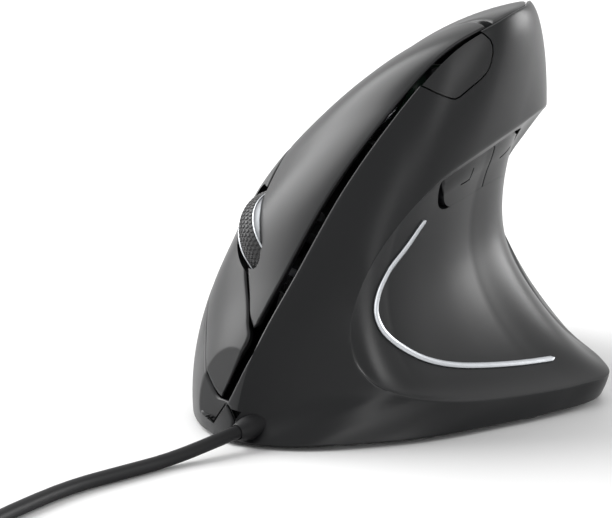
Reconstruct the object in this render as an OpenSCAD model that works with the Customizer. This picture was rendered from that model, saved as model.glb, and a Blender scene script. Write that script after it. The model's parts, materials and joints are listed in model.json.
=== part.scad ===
// Upright ergonomic mouse with a thumb scoop, two finger buttons, a scroll wheel and a cable.
// Frame: origin at the middle of the footprint on the desk, +X thumb side, +Y heel, +Z up, millimetres.

/* [Body] */
// width of the body across the thumb flange
body_width = 71; // [64:0.5:80]
// length of the body from nose to heel
body_length = 110.5; // [100:0.5:124]
// height of the body from the desk to the ridge
body_height = 73.7; // [67:0.1:80]
// wall of the shells
shell_wall = 2.2; // [1.8:0.1:2.6]
// height of the glide pads, which is also the gap under the shells
pad_height = 0.8; // [0.5:0.1:1.2]
// thickness of the bottom plate
plate_wall = 2.2; // [1.8:0.1:3]
// gap between the bottom plate and the shells around it
plate_gap = 0.3; // [0.2:0.05:0.6]

/* [Scroll wheel] */
// radius of the wheel over its tyre
wheel_radius = 10.5; // [9.5:0.1:11]
// how far the wheel stands out of the shell
wheel_proud = 2.4; // [1.8:0.1:3]
// width of the tyre
tyre_width = 4.6; // [4:0.1:5.2]
// width of each bright rim beside the tyre
rim_width = 1.2; // [0.8:0.1:1.5]
// radius of the wheel's axle
axle_radius = 1.2; // [1:0.05:1.5]
// gap between the wheel and the slot around it
slot_gap = 0.9; // [0.6:0.1:1.4]

/* [Fits] */
// radial clearance of pins and plungers in their bores
run_fit = 0.05; // [0.02:0.01:0.1]
// gap between a button's post and the plunger under it
post_gap = 0.05; // [0.03:0.01:0.12]
// radius of the hinge pins
pin_radius = 1.1; // [0.9:0.05:1.4]

/* [Switches] */
// length of a finger switch
switch_length = 12.8; // [11:0.1:14]
// width of a finger switch
switch_width = 5.8; // [5:0.1:6.5]
// height of a finger switch above its board
switch_height = 6.5; // [6:0.1:7]
// side of a small square switch
tact_side = 6; // [5:0.1:6.5]
// height of a small square switch above its board
tact_height = 3.5; // [3:0.1:4]
// how far a plunger stands out of its switch
plunger_out = 0.9; // [0.7:0.05:1.2]
// radius of a plunger
plunger_radius = 0.9; // [0.7:0.05:1.1]
// thickness of the circuit boards
board_wall = 1.6; // [1:0.1:2]

/* [Cable] */
// diameter of the cable
cable_diameter = 2.4; // [2:0.1:3]
// loops in each layer of the coil
coil_loops = 3; // [2:1:4]
// layers of the coil
coil_layers = 4; // [2:2:4]
// radius of the coil at the middle of its turns
coil_radius = 14.4; // [14:0.2:18]
// gap between neighbouring turns
coil_gap = 0.55; // [0.45:0.05:0.8]

/* [Hidden] */
// points of the body are written for this size
k = [body_width / 71, body_length / 110.5, (body_height - pad_height) / 72.9];
// scales a written point to the set size and seats it on the pads
function scaled(p) = [(p[0] - 0.5) * k[0], (p[1] + 1.2) * k[1], p[2] * k[2] + pad_height];
function vec(p) = [p[0] * k[0], p[1] * k[1], p[2] * k[2]];
// the seam from the nose up the leading edge and along the ridge to the heel
seam = [for (p = [
  [-16, -56, 0], [-13, -53.5, 14.5], [-6.5, -49, 29.2], [0.5, -44.5, 43.7], [9, -39.5, 57.2],
  [16.5, -35, 66.7], [23, -28, 71.5], [24, -18, 72.9], [20, -5, 71.7], [13.5, 9, 66.2],
  [5.5, 23, 56.2], [-3.5, 36, 41.2], [-10.5, 47, 22.2], [-12, 54, 0]]) scaled(p)];
// the foot of the finger side from nose to heel
foot_f = [for (p = [
  [-20.5, -53, 0], [-25, -48.2, 0], [-29, -42, 0], [-32, -35.5, 0], [-33.5, -28.5, 0],
  [-34.5, -21, 0], [-35, -13, 0], [-35, -4, 0], [-34.5, 6, 0], [-33.5, 17, 0],
  [-31.5, 28, 0], [-28, 38, 0], [-23.5, 46, 0], [-17, 52, 0]]) scaled(p)];
// handles of the finger ribs at the foot, and at the seam
rise_f = [for (p = [
  [0, 0, 2], [-1, -1, 8], [-1, -1, 16], [-1, -1, 24], [-1, 0, 30], [-1, 0, 34], [-1, 0, 36],
  [-1, 0, 37], [-1, 0, 36], [-1, 0, 33], [-1, 0, 27], [-1, 1, 19], [0, 1, 10], [0, 0, 2]]) vec(p)];
lean_f = [for (p = [
  [-1, 0.5, 1], [-5, 1, -1], [-10, 1, -2], [-14, 0, -2], [-15, -1, -2], [-17.5, -2, -1],
  [-23, -1, -2], [-27, 0, -5], [-28, 0, -5], [-26, 1, -4], [-21, 3, -2], [-14, 5, 0],
  [-7, 4, 1], [-1.5, 0.5, 1]]) vec(p)];
// the foot of the thumb side from nose to heel
foot_t = [for (p = [
  [-16, -56, 0], [-10, -56.5, 0], [-2, -54.5, 0], [7.5, -48, 0], [16, -40, 0], [23.5, -28.5, 0],
  [29.5, -18, 0], [34, -6.5, 0], [32.5, 3, 0], [27.5, 14.5, 0], [21, 26, 0], [13, 37, 0],
  [2.5, 47, 0], [-12, 54, 0]]) scaled(p)];
// the crease around the thumb scoop, from its rear tip along the lip to the front and back
crease = [for (p = [
  [-0.5, 40, 23.7], [0.5, 36, 28.7], [6.5, 26, 37.2], [13.5, 15, 44.2], [20, 4, 50.2],
  [24.5, -8, 53.2], [23, -19, 51.2], [19, -29, 47.7], [14.5, -36.5, 43.7], [9.5, -41.5, 37.2],
  [5.5, -45.5, 29.7], [3, -47, 21.7], [3.5, -47.5, 14.7], [6.5, -46.5, 10.4], [10, -44.5, 8.2],
  [13, -41.5, 6.8], [17, -37.5, 5.8], [21.5, -31.5, 5], [27.5, -22, 4.5], [32.5, -13, 4.3],
  [36, -4, 4.6], [32, 4.5, 5.4], [24, 13, 7.2], [16, 21, 10.2], [9, 29.5, 14.2],
  [3.5, 36.5, 18.7]]) scaled(p)];
// handles of the band between the rim and the crease
swell = [for (p = [
  [-4, 49, 14.2], [-2, 44, 26.2], [5, 34, 41.2], [12, 20, 55.2], [19, 6, 64.2], [25, -8, 69.2],
  [27.5, -19, 70.2], [25, -29, 66.2], [18, -36.5, 58.7], [10.5, -41.5, 49.2], [3.5, -46, 37.7],
  [-2, -49.5, 26.2], [-6.5, -52, 15.2], [-8, -54, 6.2], [-1, -53.5, 4.2], [6, -49.5, 3.7],
  [13, -43, 3], [19.5, -35.5, 2.4], [26, -25, 2.2], [31.5, -15, 2.2], [35.5, -5, 2.2],
  [33, 4, 2.7], [26.5, 14.5, 4.2], [19.5, 25, 6.2], [12, 35.5, 8.2], [5, 44, 10.2]]) scaled(p)];
// depth of the scoop from its front tip to its rear tip
scoop_depth = [[0, 0.2], [0.1, 0.3], [0.3, 0.42], [0.5, 0.45], [0.7, 0.38], [0.9, 0.2], [1, 0.1]];
// station of the scoop's front tip on the loop of 26
tip = 11.5;

// curves through points
function arc4(a, b, c, d, f) = 0.5 * (2 * b + (c - a) * f + (2 * a - 5 * b + 4 * c - d) * f * f
  + (3 * b - a - 3 * c + d) * f * f * f);
function along(P, s) = let (n = len(P), i = max(0, min(n - 2, floor(s))), b = P[i], c = P[i + 1])
  arc4(i > 0 ? P[i - 1] : 2 * b - c, b, c, i < n - 2 ? P[i + 2] : 2 * c - b, s - i);
function around(P, s) = let (n = len(P), i = floor(s))
  arc4(P[(i - 1 + n) % n], P[(i + n) % n], P[(i + 1) % n], P[(i + 2) % n], s - i);
function rib3(a, b, c, d, t) = a * pow(1 - t, 3) + 3 * b * t * pow(1 - t, 2)
  + 3 * c * t * t * (1 - t) + d * t * t * t;
function rib2(a, b, c, t) = a * pow(1 - t, 2) + 2 * b * t * (1 - t) + c * t * t;
function unit(v) = v / norm(v);
function mix(a, b, t) = a + (b - a) * t;

// finger side: s from nose to heel, t from foot to seam
function finger(s, t) = let (a = along(foot_f, s), b = along(seam, s))
  rib3(a, a + along(rise_f, s), b + along(lean_f, s), b, t);
step = 0.004;
function finger_n(s, t) = unit(cross(finger(s, t + step) - finger(s, t - step),
  finger(s + step, t) - finger(s - step, t)));
// thumb side: u around the loop, t from the rim to the crease
function rim(u) = u <= 13 ? along(seam, 13 - u) : along(foot_t, u - 13);
function band(u, t) = rib2(rim(u), around(swell, u), around(crease, u), t);
function band_n(u, t) = let (a = max(0.01, min(25.99, u)))
  unit(cross(band(a + step, t) - band(a - step, t), band(u, t + step) - band(u, t - step)));
// scoop: j from the front tip to the rear tip, t from the lip to the flange
function lip_u(j) = tip * (1 - j);
function flange_u(j) = tip + (26 - tip) * j;
function scoop(j, t) = let (a = around(crease, lip_u(j)), b = around(crease, flange_u(j)),
  d = norm(a - b) * lookup(j, scoop_depth))
  rib3(a, a + d * [-0.75, 0, -0.35], b + d * [-0.85, 0, 0.3], b, t);
function scoop_n(j, t) = -unit(cross(scoop(j + step, t) - scoop(j - step, t),
  scoop(j, t + step) - scoop(j, t - step)));
// directions for walls that meet at an edge
function mitre(a, b) = (a + b) / (1 + max(-0.2, a * b));
function seam_in(s) = along(seam, s)
  - shell_wall * mitre(finger_n(s, 0.97), band_n(13 - s, 0.03));
function finger_in(s, t) = let (a = along(foot_f, s) - shell_wall * flat(finger_n(s, 0.1)),
  b = seam_in(max(0.3, min(12.7, s))) + along(seam, s) - along(seam, max(0.3, min(12.7, s))))
  rib3(a, a + along(rise_f, s), b + along(lean_f, s), b, t);
function flat(v) = unit([v[0], v[1], 0]);
function crease_in(u, j) = around(crease, u)
  - shell_wall * mitre(band_n(u, 0.97), scoop_n(max(0.06, min(0.94, j)), u < tip ? 0.04 : 0.96));
function rim_in(u) = u <= 0.4 || u >= 25.6 ? rim(u) - shell_wall * flat(band_n(u, 0.3))
  : u < 12.6 ? seam_in(13 - u) : rim(u) - shell_wall * flat(band_n(u, 0.3));
function band_in(u, j, t) = rib2(rim_in(u), around(swell, u) - shell_wall * band_n(u, 0.5),
  crease_in(u, j), t);
function scoop_in(j, t) = let (a = crease_in(lip_u(j), j), b = crease_in(flange_u(j), j),
  d = norm(a - b) * lookup(j, scoop_depth))
  rib3(a, a + d * [-0.75, 0, -0.35], b + d * [-0.85, 0, 0.3], b, t);

// a closed wall between an outer and an inner grid; skipped cells leave a window
module wall(outer, inner, open = function (i, j) false) {
  ni = len(outer);
  nj = len(outer[0]);
  points = concat([for (r = outer) each r], [for (r = inner) each r]);
  m = ni * nj;
  on = function (i, j) i >= 0 && j >= 0 && i < ni - 1 && j < nj - 1 && !open(i, j);
  faces = [for (i = [0:ni - 2], j = [0:nj - 2]) if (on(i, j))
    let (a = i * nj + j, b = a + nj, c = b + 1, d = a + 1) each concat(
      [[a, b, c], [a, c, d], [m + a, m + c, m + b], [m + a, m + d, m + c]],
      on(i, j - 1) ? [] : [[a, m + a, m + b], [a, m + b, b]],
      on(i, j + 1) ? [] : [[d, c, m + c], [d, m + c, m + d]],
      on(i - 1, j) ? [] : [[a, d, m + d], [a, m + d, m + a]],
      on(i + 1, j) ? [] : [[b, m + b, m + c], [b, m + c, c]])];
  polyhedron(points, faces, convexity = 8);
}

// width of the gap along the seam, by station
seam_gap = [[0, 1.9], [2, 1.75], [3.5, 1.5], [4.5, 1], [5.2, 0.8], [13, 0.8]];
function near_seam(s) = 1 - lookup(s, seam_gap) / (3 * norm(along(lean_f, s)));
// a piece of the finger side between two lines in s and t
function line_at(L, x) = along(L, x * (len(L) - 1));
function patch(low, high, n, m, f) = [for (i = [0:n])
  [for (j = [0:m]) let (p = mix(line_at(low, i / n), line_at(high, i / n), j / m)) f(p[0], p[1])]];
// draft of a finger button's edges, so that it can turn past its neighbours
edge_draft = 0.014;
function drafted(P, other, way) = [for (i = [0:len(P) - 1])
  P[i] + [0, way * min(edge_draft, abs(P[i][1] - other[i][1]) / 3)]];
module finger_piece(low, high, n, m) {
  wall(patch(low, high, n, m, function (s, t) finger(s, t)),
    patch(drafted(low, high, 1), drafted(high, low, -1), n, m, function (s, t) finger_in(s, t)));
}
left_low = [[1.36, 0.9], [1.56, 0.79], [1.8, 0.73], [2.2, 0.66], [2.6, 0.617], [3.4, 0.557],
  [4.3, 0.517], [5.6, 0.502], [7, 0.497], [8.4, 0.497]];
left_high = [for (s = [1.42, 1.85, 2.3, 2.8, 3.3, 3.8, 4.3, 4.8, 5.25, 5.7]) [s, near_seam(s)]];
right_low = [[0.62, 0.6], [0.85, 0.45], [1.2, 0.385], [1.7, 0.345], [2.4, 0.33], [3.4, 0.325],
  [4.5, 0.325], [6, 0.325], [7.3, 0.325], [8.6, 0.325]];
right_high = [[0.72, 0.86], [0.95, 0.88], [1.22, 0.88], [1.5, 0.793], [2.15, 0.653], [2.9, 0.58],
  [4.3, 0.503], [5.6, 0.488], [7, 0.483], [8.4, 0.483]];
palm_high = [[0.12, 0.86], [0.28, 0.86], [0.42, 0.82], [0.52, 0.62], [0.7, 0.44], [1.1, 0.37],
  [1.7, 0.33], [2.4, 0.314], [3.4, 0.309], [4.5, 0.309], [6, 0.309], [7.3, 0.309], [8.68, 0.309]];

// frame of the finger side at the wheel: X to the front, Y up the slope, Z out
wheel_s = 3.35;
wheel_t = 0.54;
f_o = finger(wheel_s, wheel_t);
f_z = finger_n(wheel_s, wheel_t);
f_y = unit([0.55, -0.4, 0.73] - ([0.55, -0.4, 0.73] * f_z) * f_z);
f_x = cross(f_y, f_z);
module in_frame(o, x, y, z) multmatrix([[x[0], y[0], z[0], o[0]], [x[1], y[1], z[1], o[1]],
  [x[2], y[2], z[2], o[2]]]) children();
module in_f() in_frame(f_o, f_x, f_y, f_z) children();
function to_f(p) = [(p - f_o) * f_x, (p - f_o) * f_y, (p - f_o) * f_z];

// arms of the wheel's cradle, and the gap from an arm to a switch beside it
arm_in = tyre_width / 2 + rim_width + 0.9;
arm_out = arm_in + 1.6;
switch_gap = 0.35;
// heights in the finger frame
wheel_z = wheel_proud - wheel_radius;
board_top = wheel_z - wheel_radius - 0.9;
board_low = board_top - board_wall;
rail_top = board_low - 1;
rail_low = rail_top - 2;
switch_top = board_top + switch_height;
plunger_top = switch_top + plunger_out;
hinge_x = -37.5;
hinge_z = -18;
barrel_radius = pin_radius + 1.5;
left_post = to_f(finger(4.3, 0.582));
// height on the finger side at a given distance up the slope from the wheel
function slope_t(s, y) = let (a = to_f(finger(s, 0.35))[1], b = to_f(finger(s, 0.6))[1])
  mix(0.35, 0.6, (y - a) / (b - a));
right_post = to_f(finger(3.6, slope_t(3.6, -arm_out - switch_gap - switch_width / 2)));
tact_top = board_top + tact_height;
push_x = -15;
pivot_x = -21;
pivot_z = wheel_z - 2.8;
beam_low = wheel_z - 4.8;
beam_tall = 4;

// a corner of a flat piece behind the scoop, drawn back to clear the scoop's inner wall
scoop_gap = 0.6;
function behind(x, y, z) = let (q = scoop_in(0.36, 0.36), n = scoop_n(0.36, 0.36))
  [x, min(y, ((q - f_o - x * f_x - z * f_z) * n - scoop_gap) / (f_y * n))];

// frame of the thumb keys: Z out of the scoop, X towards the heel
key_j = 0.52;
g_o = scoop(key_j, 0.2);
g_z = scoop_n(key_j, 0.2);
g_x = unit([0, 1, 0] - ([0, 1, 0] * g_z) * g_z);
g_y = cross(g_z, g_x);
module in_g() in_frame(g_o, g_x, g_y, g_z) children();
function to_g(p) = [(p - g_o) * g_x, (p - g_o) * g_y, (p - g_o) * g_z];
// window of the thumb keys in the scoop, and each key's place in it
window_j = [0.38, 0.66];
window_t = [0.13, 0.312];
key_t = [0.15, 0.304];
forward_j = [0.39, 0.5135];
back_j = [0.5175, 0.652];
// how much smaller a key is at its inner side
key_draft = 0.008;
forward_post = to_g(scoop(0.455, 0.2));
back_post = to_g(scoop(0.59, 0.2));
side_top = -8.4;
side_post = [for (j = [0.46, 0.59]) to_g(scoop(j, 0.06))];
side_tact_top = side_top + tact_height;
side_plunger_top = side_tact_top + plunger_out;

// frame of the speed button on the front face
dpi_u = 7.95;
dpi_half = 0.68;
dpi_t = 0.47;
// edge of the speed button beside the seam
dpi_from = 0.045;
d_o = band(dpi_u, 0.36);
d_z = band_n(dpi_u, 0.3);
d_x = unit([0, 0, 1] - ([0, 0, 1] * d_z) * d_z);
d_y = cross(d_z, d_x);
module in_d() in_frame(d_o, d_x, d_y, d_z) children();
function to_d(p) = [(p - d_o) * d_x, (p - d_o) * d_y, (p - d_o) * d_z];
dpi_top = -7.6;
speed_post = [to_d(band(8.8, 0.42)), to_d(band(7.95, 0.68))];
// outline of the speed button from its upper to its lower end, as shares of its length and depth
dpi_shape = [[-1, 0], [-0.99, 0.45], [-0.96, 0.72], [-0.9, 0.88], [-0.8, 0.96], [-0.54, 1], [-0.13, 1],
  [0.13, 0.9], [0.4, 0.69], [0.65, 0.47], [0.85, 0.24], [1, 0]];
function notch(u, half, deep) = abs(u - dpi_u) >= half ? 0 : deep * lookup((u - dpi_u) / half, dpi_shape);

// heights over the desk
plate_top = pad_height + plate_wall;
board_z = plate_top + 2.4;
sensor_at = [1 * k[0], 5 * k[1]];
boss_radius = 2.8;
boss_tall = 7;
screw_radius = 1.1;
head_radius = 2.2;
lens_radius = 3.8;
lens_stem = 2;
leg_radius = 2.6;
leg_gap = 0.6;
// loose fit of pieces that only pass through a hole
loose_fit = 0.2;
// floor of a switch's bore, and of its plunger, over the board
bore_floor = 2;
plunger_floor = 2.8;
tact_bore_floor = 1;
tact_plunger_floor = 1.7;
// extra inset of the bottom plate under the low thumb flange
flange_gap = 4.5;
// screw places beside the foot, as stations of the two foot lines
boss_f = [4.2, 9.6];
boss_t = [2.9, 11.4];
function beside(P, s, d) = let (a = along(P, s), v = along(P, s + 0.05) - along(P, s - 0.05),
  n = unit([-v[1], v[0], 0])) a + n * d;
boss_at = concat([for (s = boss_f) beside(foot_f, s, -(shell_wall + head_radius + loose_fit))],
  [for (s = boss_t) beside(foot_t, s, shell_wall + 4)]);
function placed(P) = [for (p = P) [p[0] * k[0], p[1] * k[1]]];
post_at = placed([[-20, -22], [9, -26], [-21, 23], [4, 22]]);
// legs of the rail, as places on the rail in the finger frame
leg_f = [[-2.9, 0], [-30, -10], [-41, -11]];
leg_at = [for (q = leg_f) let (p = f_o + q[0] * f_x + q[1] * f_y + (rail_low + 1) * f_z) [p[0], p[1]]];

// cable
cable_radius = cable_diameter / 2;
exit_at = [-13 * k[0], -53.9 * k[1], 3.4];
exit_dir = unit([-0.38, -0.92, -0.08]);
exit_x = unit(cross([0, 0, 1], exit_dir));
relief_radius = cable_radius + 0.9;
relief_flange = cable_radius + 1.5;
module at_exit() in_frame(exit_at, exit_x, cross(exit_dir, exit_x), exit_dir) children();
tie_wall = 0.5;
// angle of the tie past the start of the coil
tie_turn = 60;
coil_low = tie_wall + 0.1 + cable_radius;
coil_pitch = cable_diameter + coil_gap;
coil_rise = cable_diameter + coil_gap;
coil_wide = coil_radius + coil_pitch * coil_loops / 2;
coil_thin = coil_radius - coil_pitch * coil_loops / 2;
// place of the coil in front of the nose, from the exit
lead_side = 19.4;
coil_at = [exit_at[0] - lead_side + coil_wide, exit_at[1] - 126];
// angle at which the cable runs onto the coil
coil_start = 180;
// middle line of the free cable, from the inner end to the coil
function coil_dir(a) = [cos(a), sin(a), 0];
function coil_point(a, radius, z) = [coil_at[0], coil_at[1], z] + radius * coil_dir(a);
lead_way = [sin(coil_start), -cos(coil_start), 0];
lead_end = coil_point(coil_start, coil_wide, coil_low) + lead_way * cable_diameter;
// height of the cable where it lies on the desk
lead_low = cable_radius + 0.05;
// written from the exit
lead = concat([for (d = [12, 6, 0, -5]) exit_at - d * exit_dir],
  [for (p = [[-3.8, -8.9, 2.4], [-5.1, -11.8, 2], [-6.5, -14.6, 1.6], [-8.4, -18.8, lead_low],
  [-10.5, -24.2, lead_low], [-13, -30.3, lead_low], [-15.1, -35.9, lead_low], [-16.7, -42.4, lead_low],
  [-17.8, -49.8, lead_low], [-18.5, -56, lead_low], [-19, -63, lead_low], [-19.3, -71, lead_low],
  [-lead_side, -80, lead_low], [-lead_side, -92, lead_low]])
  [exit_at[0] + p[0], exit_at[1] + p[1], p[2]]],
  [lead_end + lead_way * 8, lead_end + lead_way * 4, lead_end]);

$fn = 40;

// one point below the skin of the finger side
function under_f(s, t, d) = finger(s, t) - d * finger_n(s, t);

module case_screw_holes(r, low, high) {
  for (p = boss_at) translate([p[0], p[1], low]) cylinder(r = r, h = high - low);
}

module base_plate() {
  f_line = [for (s = [0.8:0.4:12.2]) beside(foot_f, s, -(shell_wall + plate_gap))];
  t_line = [for (s = [12.2:-0.4:0.8])
    beside(foot_t, s, shell_wall + plate_gap + flange_gap * sin(s * 13.8))];
  outline = [for (p = concat(f_line, t_line)) [p[0], p[1]]];
  color("#26282b") difference() {
    union() {
      translate([0, 0, pad_height]) linear_extrude(plate_wall) polygon(outline);
      for (p = post_at) translate([p[0], p[1], plate_top - 0.5])
        cylinder(r = 2.4, h = board_z - plate_top + 0.5);
    }
    case_screw_holes(screw_radius + 0.1, 0, plate_top + 1);
    case_screw_holes(head_radius + loose_fit, 0, pad_height + 1.2);
    translate([sensor_at[0], sensor_at[1], 0]) cylinder(r = lens_radius + loose_fit, h = plate_top + 1);
    translate(exit_at - exit_dir * 12) rotate(atan2(exit_dir[1], exit_dir[0]))
      translate([0, -4, -6]) cube([24, 8, 12]);
  }
}

pads = placed([[-26, -30], [22, -16], [-24, 32], [6, 34]]);
module glide_pads() {
  color("#d8dadc") for (p = pads) translate([p[0], p[1], 0]) cylinder(r = 4.5, h = pad_height);
}

// rows of the thumb shell, closer together beside the speed button
rows = concat([for (i = [0:5]) i * 0.04], [0.235],
  [for (i = [len(dpi_shape) - 1:-1:0]) 1 - (dpi_u + dpi_half * dpi_shape[i][0] * (i == 0 ? 1.02 : 1)) / tip],
  [window_j[0], 0.4, 0.425, 0.45, 0.475, 0.5],
  [0.53, 0.56, 0.59, 0.625], [window_j[1], 0.7, 0.74, 0.78, 0.82, 0.86, 0.9, 0.94, 0.97, 1]);
band_steps = 4;
scoop_ts = [0, window_t[0] / 2, window_t[0], window_t[1], 0.36, 0.41, 0.48, 0.55, 0.62, 0.69, 0.76, 0.83,
  0.89, 0.95, 1];
function row_out(j) = let (u = lip_u(j), v = flange_u(j), t0 = notch(u, dpi_half, dpi_t)) concat(
  [for (i = [0:band_steps]) band(u, t0 + (1 - t0) * i / band_steps)],
  [for (i = [1:len(scoop_ts) - 1]) scoop(j, scoop_ts[i])],
  [for (i = [1:band_steps]) band(v, 1 - i / band_steps)]);
function row_in(j) = let (u = lip_u(j), v = flange_u(j), t0 = notch(u, dpi_half, dpi_t)) concat(
  [for (i = [0:band_steps]) band_in(u, j, t0 + (1 - t0) * i / band_steps)],
  [for (i = [1:len(scoop_ts) - 1]) scoop_in(j, scoop_ts[i])],
  [for (i = [1:band_steps]) band_in(v, j, 1 - i / band_steps)]);

// the thumb half is one folded grid: both end rows close on themselves
module thumb_wall() {
  outer = [for (j = rows) row_out(j)];
  inner = [for (j = rows) row_in(j)];
  ni = len(rows);
  nj = len(outer[0]);
  m = ni * nj;
  last = band_steps + len(scoop_ts) - 1;
  window_column = band_steps + 2;
  id = function (i, j) (i > 0 && i < ni - 1) ? i * nj + j
    : i * nj + (j <= band_steps ? j : j >= last ? nj - 1 - j : band_steps);
  open = function (i, j) j >= 0 && j < nj - 1 && i >= 0 && i < ni - 1
    && rows[i] >= window_j[0] && rows[i + 1] <= window_j[1] && j == window_column;
  tri = function (a, b, c) a == b || b == c || a == c ? [] : [[a, b, c]];
  on = function (i, j) i >= 0 && i < ni - 1 && j >= 0 && j < nj - 1 && !open(i, j);
  faces = [for (i = [0:ni - 2], j = [0:nj - 2]) if (on(i, j))
    let (a = id(i, j), b = id(i + 1, j), c = id(i + 1, j + 1), d = id(i, j + 1)) each concat(
      tri(a, b, c), tri(a, c, d), tri(m + a, m + c, m + b), tri(m + a, m + d, m + c),
      on(i, j - 1) ? [] : concat(tri(a, m + a, m + b), tri(a, m + b, b)),
      on(i, j + 1) ? [] : concat(tri(d, c, m + c), tri(d, m + c, m + d)),
      i == 0 || on(i - 1, j) ? [] : concat(tri(a, d, m + d), tri(a, m + d, m + a)),
      i == ni - 2 || on(i + 1, j) ? [] : concat(tri(b, m + b, m + c), tri(b, m + c, c)))];
  polyhedron(concat([for (r = outer) each r], [for (r = inner) each r]), faces, convexity = 10);
}

module boss(p, tall) {
  translate([p[0], p[1], plate_top]) cylinder(r = boss_radius, h = tall);
}

// room for the strain relief in the pieces around it
module exit_hole() at_exit() {
  translate([0, 0, -6]) cylinder(r = relief_radius + loose_fit, h = 16);
  translate([0, 0, -14]) cylinder(r = relief_flange + loose_fit, h = 9.5);
}

module thumb_shell() {
  color("#2b2d30") difference() {
    union() {
      thumb_wall();
      for (i = [2, 3]) boss(boss_at[i], boss_tall);
      in_g() for (p = side_post) translate([p[0], p[1], side_top])
        cylinder(r = 1.8, h = p[2] - 1.2 - side_top);
      in_d() for (p = speed_post) translate([p[0], p[1], dpi_top])
        cylinder(r = 1.6, h = p[2] - 1.2 - dpi_top);
    }
    for (i = [2, 3]) translate([boss_at[i][0], boss_at[i][1], 0])
      cylinder(r = screw_radius, h = plate_top + boss_tall - 1.5);
    exit_hole();
  }
}

module palm_cover() {
  n1 = 24;
  n2 = 12;
  m1 = 5;
  m2 = 8;
  heel = 12.7;
  low_s = concat([for (i = [0:n1]) line_at(palm_high, i / n1)],
    [for (i = [1:n2]) [mix(8.68, heel, i / n2), 0.309]]);
  // front edge of the upper part, which follows the rear edges of the finger buttons
  front_s = function (t) t < 0.49 ? mix(8.68, 8.58, (t - 0.309) / 0.181)
    : mix(8.58, 5.85, (t - 0.49) / 0.5);
  cell = function (f) [for (i = [0:n1 + n2]) concat(
    [for (j = [0:m1]) f(low_s[i][0], low_s[i][1] * j / m1)],
    [for (j = [1:m2]) let (s = mix(front_s(mix(0.309, 0.99, j / m2)), heel, max(0, (i - n1) / n2)))
      f(s, mix(0.309, near_seam(s), j / m2))])];
  color("#2b2d30") difference() {
    union() {
      wall(cell(function (s, t) finger(s, t)), cell(function (s, t) finger_in(s, t)),
        function (i, j) j >= m1 && i < n1);
      for (i = [0, 1]) boss(boss_at[i], boss_tall);
    }
    for (i = [0, 1]) translate([boss_at[i][0], boss_at[i][1], 0])
      cylinder(r = screw_radius, h = plate_top + boss_tall - 1.5);
    exit_hole();
  }
}

// room for the wheel in the skin of both finger buttons
module wheel_slot() {
  half = tyre_width / 2 + rim_width + slot_gap;
  in_f() translate([0, -half, wheel_z]) rotate([-90, 0, 0])
    cylinder(r = wheel_radius + slot_gap, h = 2 * half, $fn = 96);
}

// a post from a button's skin to its plunger
module f_post(p) {
  translate([p[0], p[1], plunger_top + post_gap])
    cylinder(r = 1.6, h = p[2] - 1.2 - plunger_top - post_gap);
}

// the hinge barrel of a button and the web that carries it
module f_barrel(y0, y1, root) {
  difference() {
    union() {
      translate([hinge_x, y0, hinge_z]) rotate([-90, 0, 0]) cylinder(r = barrel_radius, h = y1 - y0);
      hull() {
        translate([hinge_x - 1.2, y0, hinge_z + 1.4]) cube([2.4, y1 - y0, 0.6]);
        translate(root - [1, 2, 0.4]) cube([2, 4, 0.8]);
      }
    }
    translate([hinge_x, y0 - 1, hinge_z]) rotate([-90, 0, 0])
      cylinder(r = pin_radius + run_fit, h = y1 - y0 + 2);
  }
}

module left_button() {
  color("#303236") union() {
    difference() {
      finger_piece(left_low, left_high, 26, 9);
      wheel_slot();
    }
    in_f() {
      f_post(left_post);
      f_barrel(1.6, 8.4, to_f(under_f(7.5, slope_t(7.5, 6.56), 1.2)));
    }
  }
}

module right_button() {
  color("#303236") union() {
    difference() {
      finger_piece(right_low, right_high, 26, 5);
      wheel_slot();
    }
    in_f() {
      f_post(right_post);
      f_barrel(-8.4, -1.6, to_f(under_f(7.65, slope_t(7.65, -7.27), 1.2)));
    }
  }
}

module speed_button() {
  half = dpi_half * 0.93;
  deep = dpi_t - 0.045;
  us = [for (i = [-8:8]) dpi_u - half * 0.985 * sin(i * 11.25)];
  grid = function (f) [for (u = us) let (t = notch(u, half, deep))
    [for (i = [0:4]) f(u, mix(dpi_from, t, i / 4))]];
  color("#2b2d30") union() {
    wall(grid(function (u, t) band(u, t)),
      grid(function (u, t) mix(band(u, t), band_in(u, 1 - u / tip, t), 0.7)));
    in_d() translate([0, 0, dpi_top + tact_height + plunger_out + post_gap])
      cylinder(r = 1.4, h = -0.9 - (dpi_top + tact_height + plunger_out + post_gap));
  }
}

module key(js, post) {
  grid = function (d, e) [for (i = [0:8]) let (j = mix(js[0] + e / 2, js[1] - e / 2, i / 8))
    [for (c = [0:3]) let (t = mix(key_t[0] + e, key_t[1] - e, c / 3)) scoop(j, t) + d * scoop_n(j, t)]];
  union() {
    wall(grid(0.1, 0), grid(-1.6, key_draft));
    in_g() translate([post[0], post[1], side_plunger_top + post_gap])
      cylinder(r = 1.4, h = post[2] - 0.8 - side_plunger_top - post_gap);
  }
}

module forward_key() { color("#26282b") key(forward_j, forward_post); }

module back_key() { color("#26282b") key(back_j, back_post); }

// bright strip that follows the scoop
strip_at = [[0.38, 0.307], [0.345, 0.375], [0.3, 0.425], [0.265, 0.475], [0.25, 0.54], [0.265, 0.62],
  [0.3, 0.695], [0.345, 0.765], [0.395, 0.815], [0.44, 0.842], [0.49, 0.86], [0.54, 0.872]];
module accent_strip() {
  n = 44;
  mid = [for (i = [0:n]) line_at(strip_at, i / n)];
  pt = [for (m = mid) scoop(m[0], m[1])];
  row = function (h) [for (i = [0:n]) let (z = scoop_n(mid[i][0], mid[i][1]),
    d = pt[min(n, i + 1)] - pt[max(0, i - 1)], y = unit(cross(z, d)))
    [pt[i] + h * z - 0.65 * y, pt[i] + h * z + 0.65 * y]];
  color("#c9ccd0") wall(row(0.7), row(0.15));
}

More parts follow.
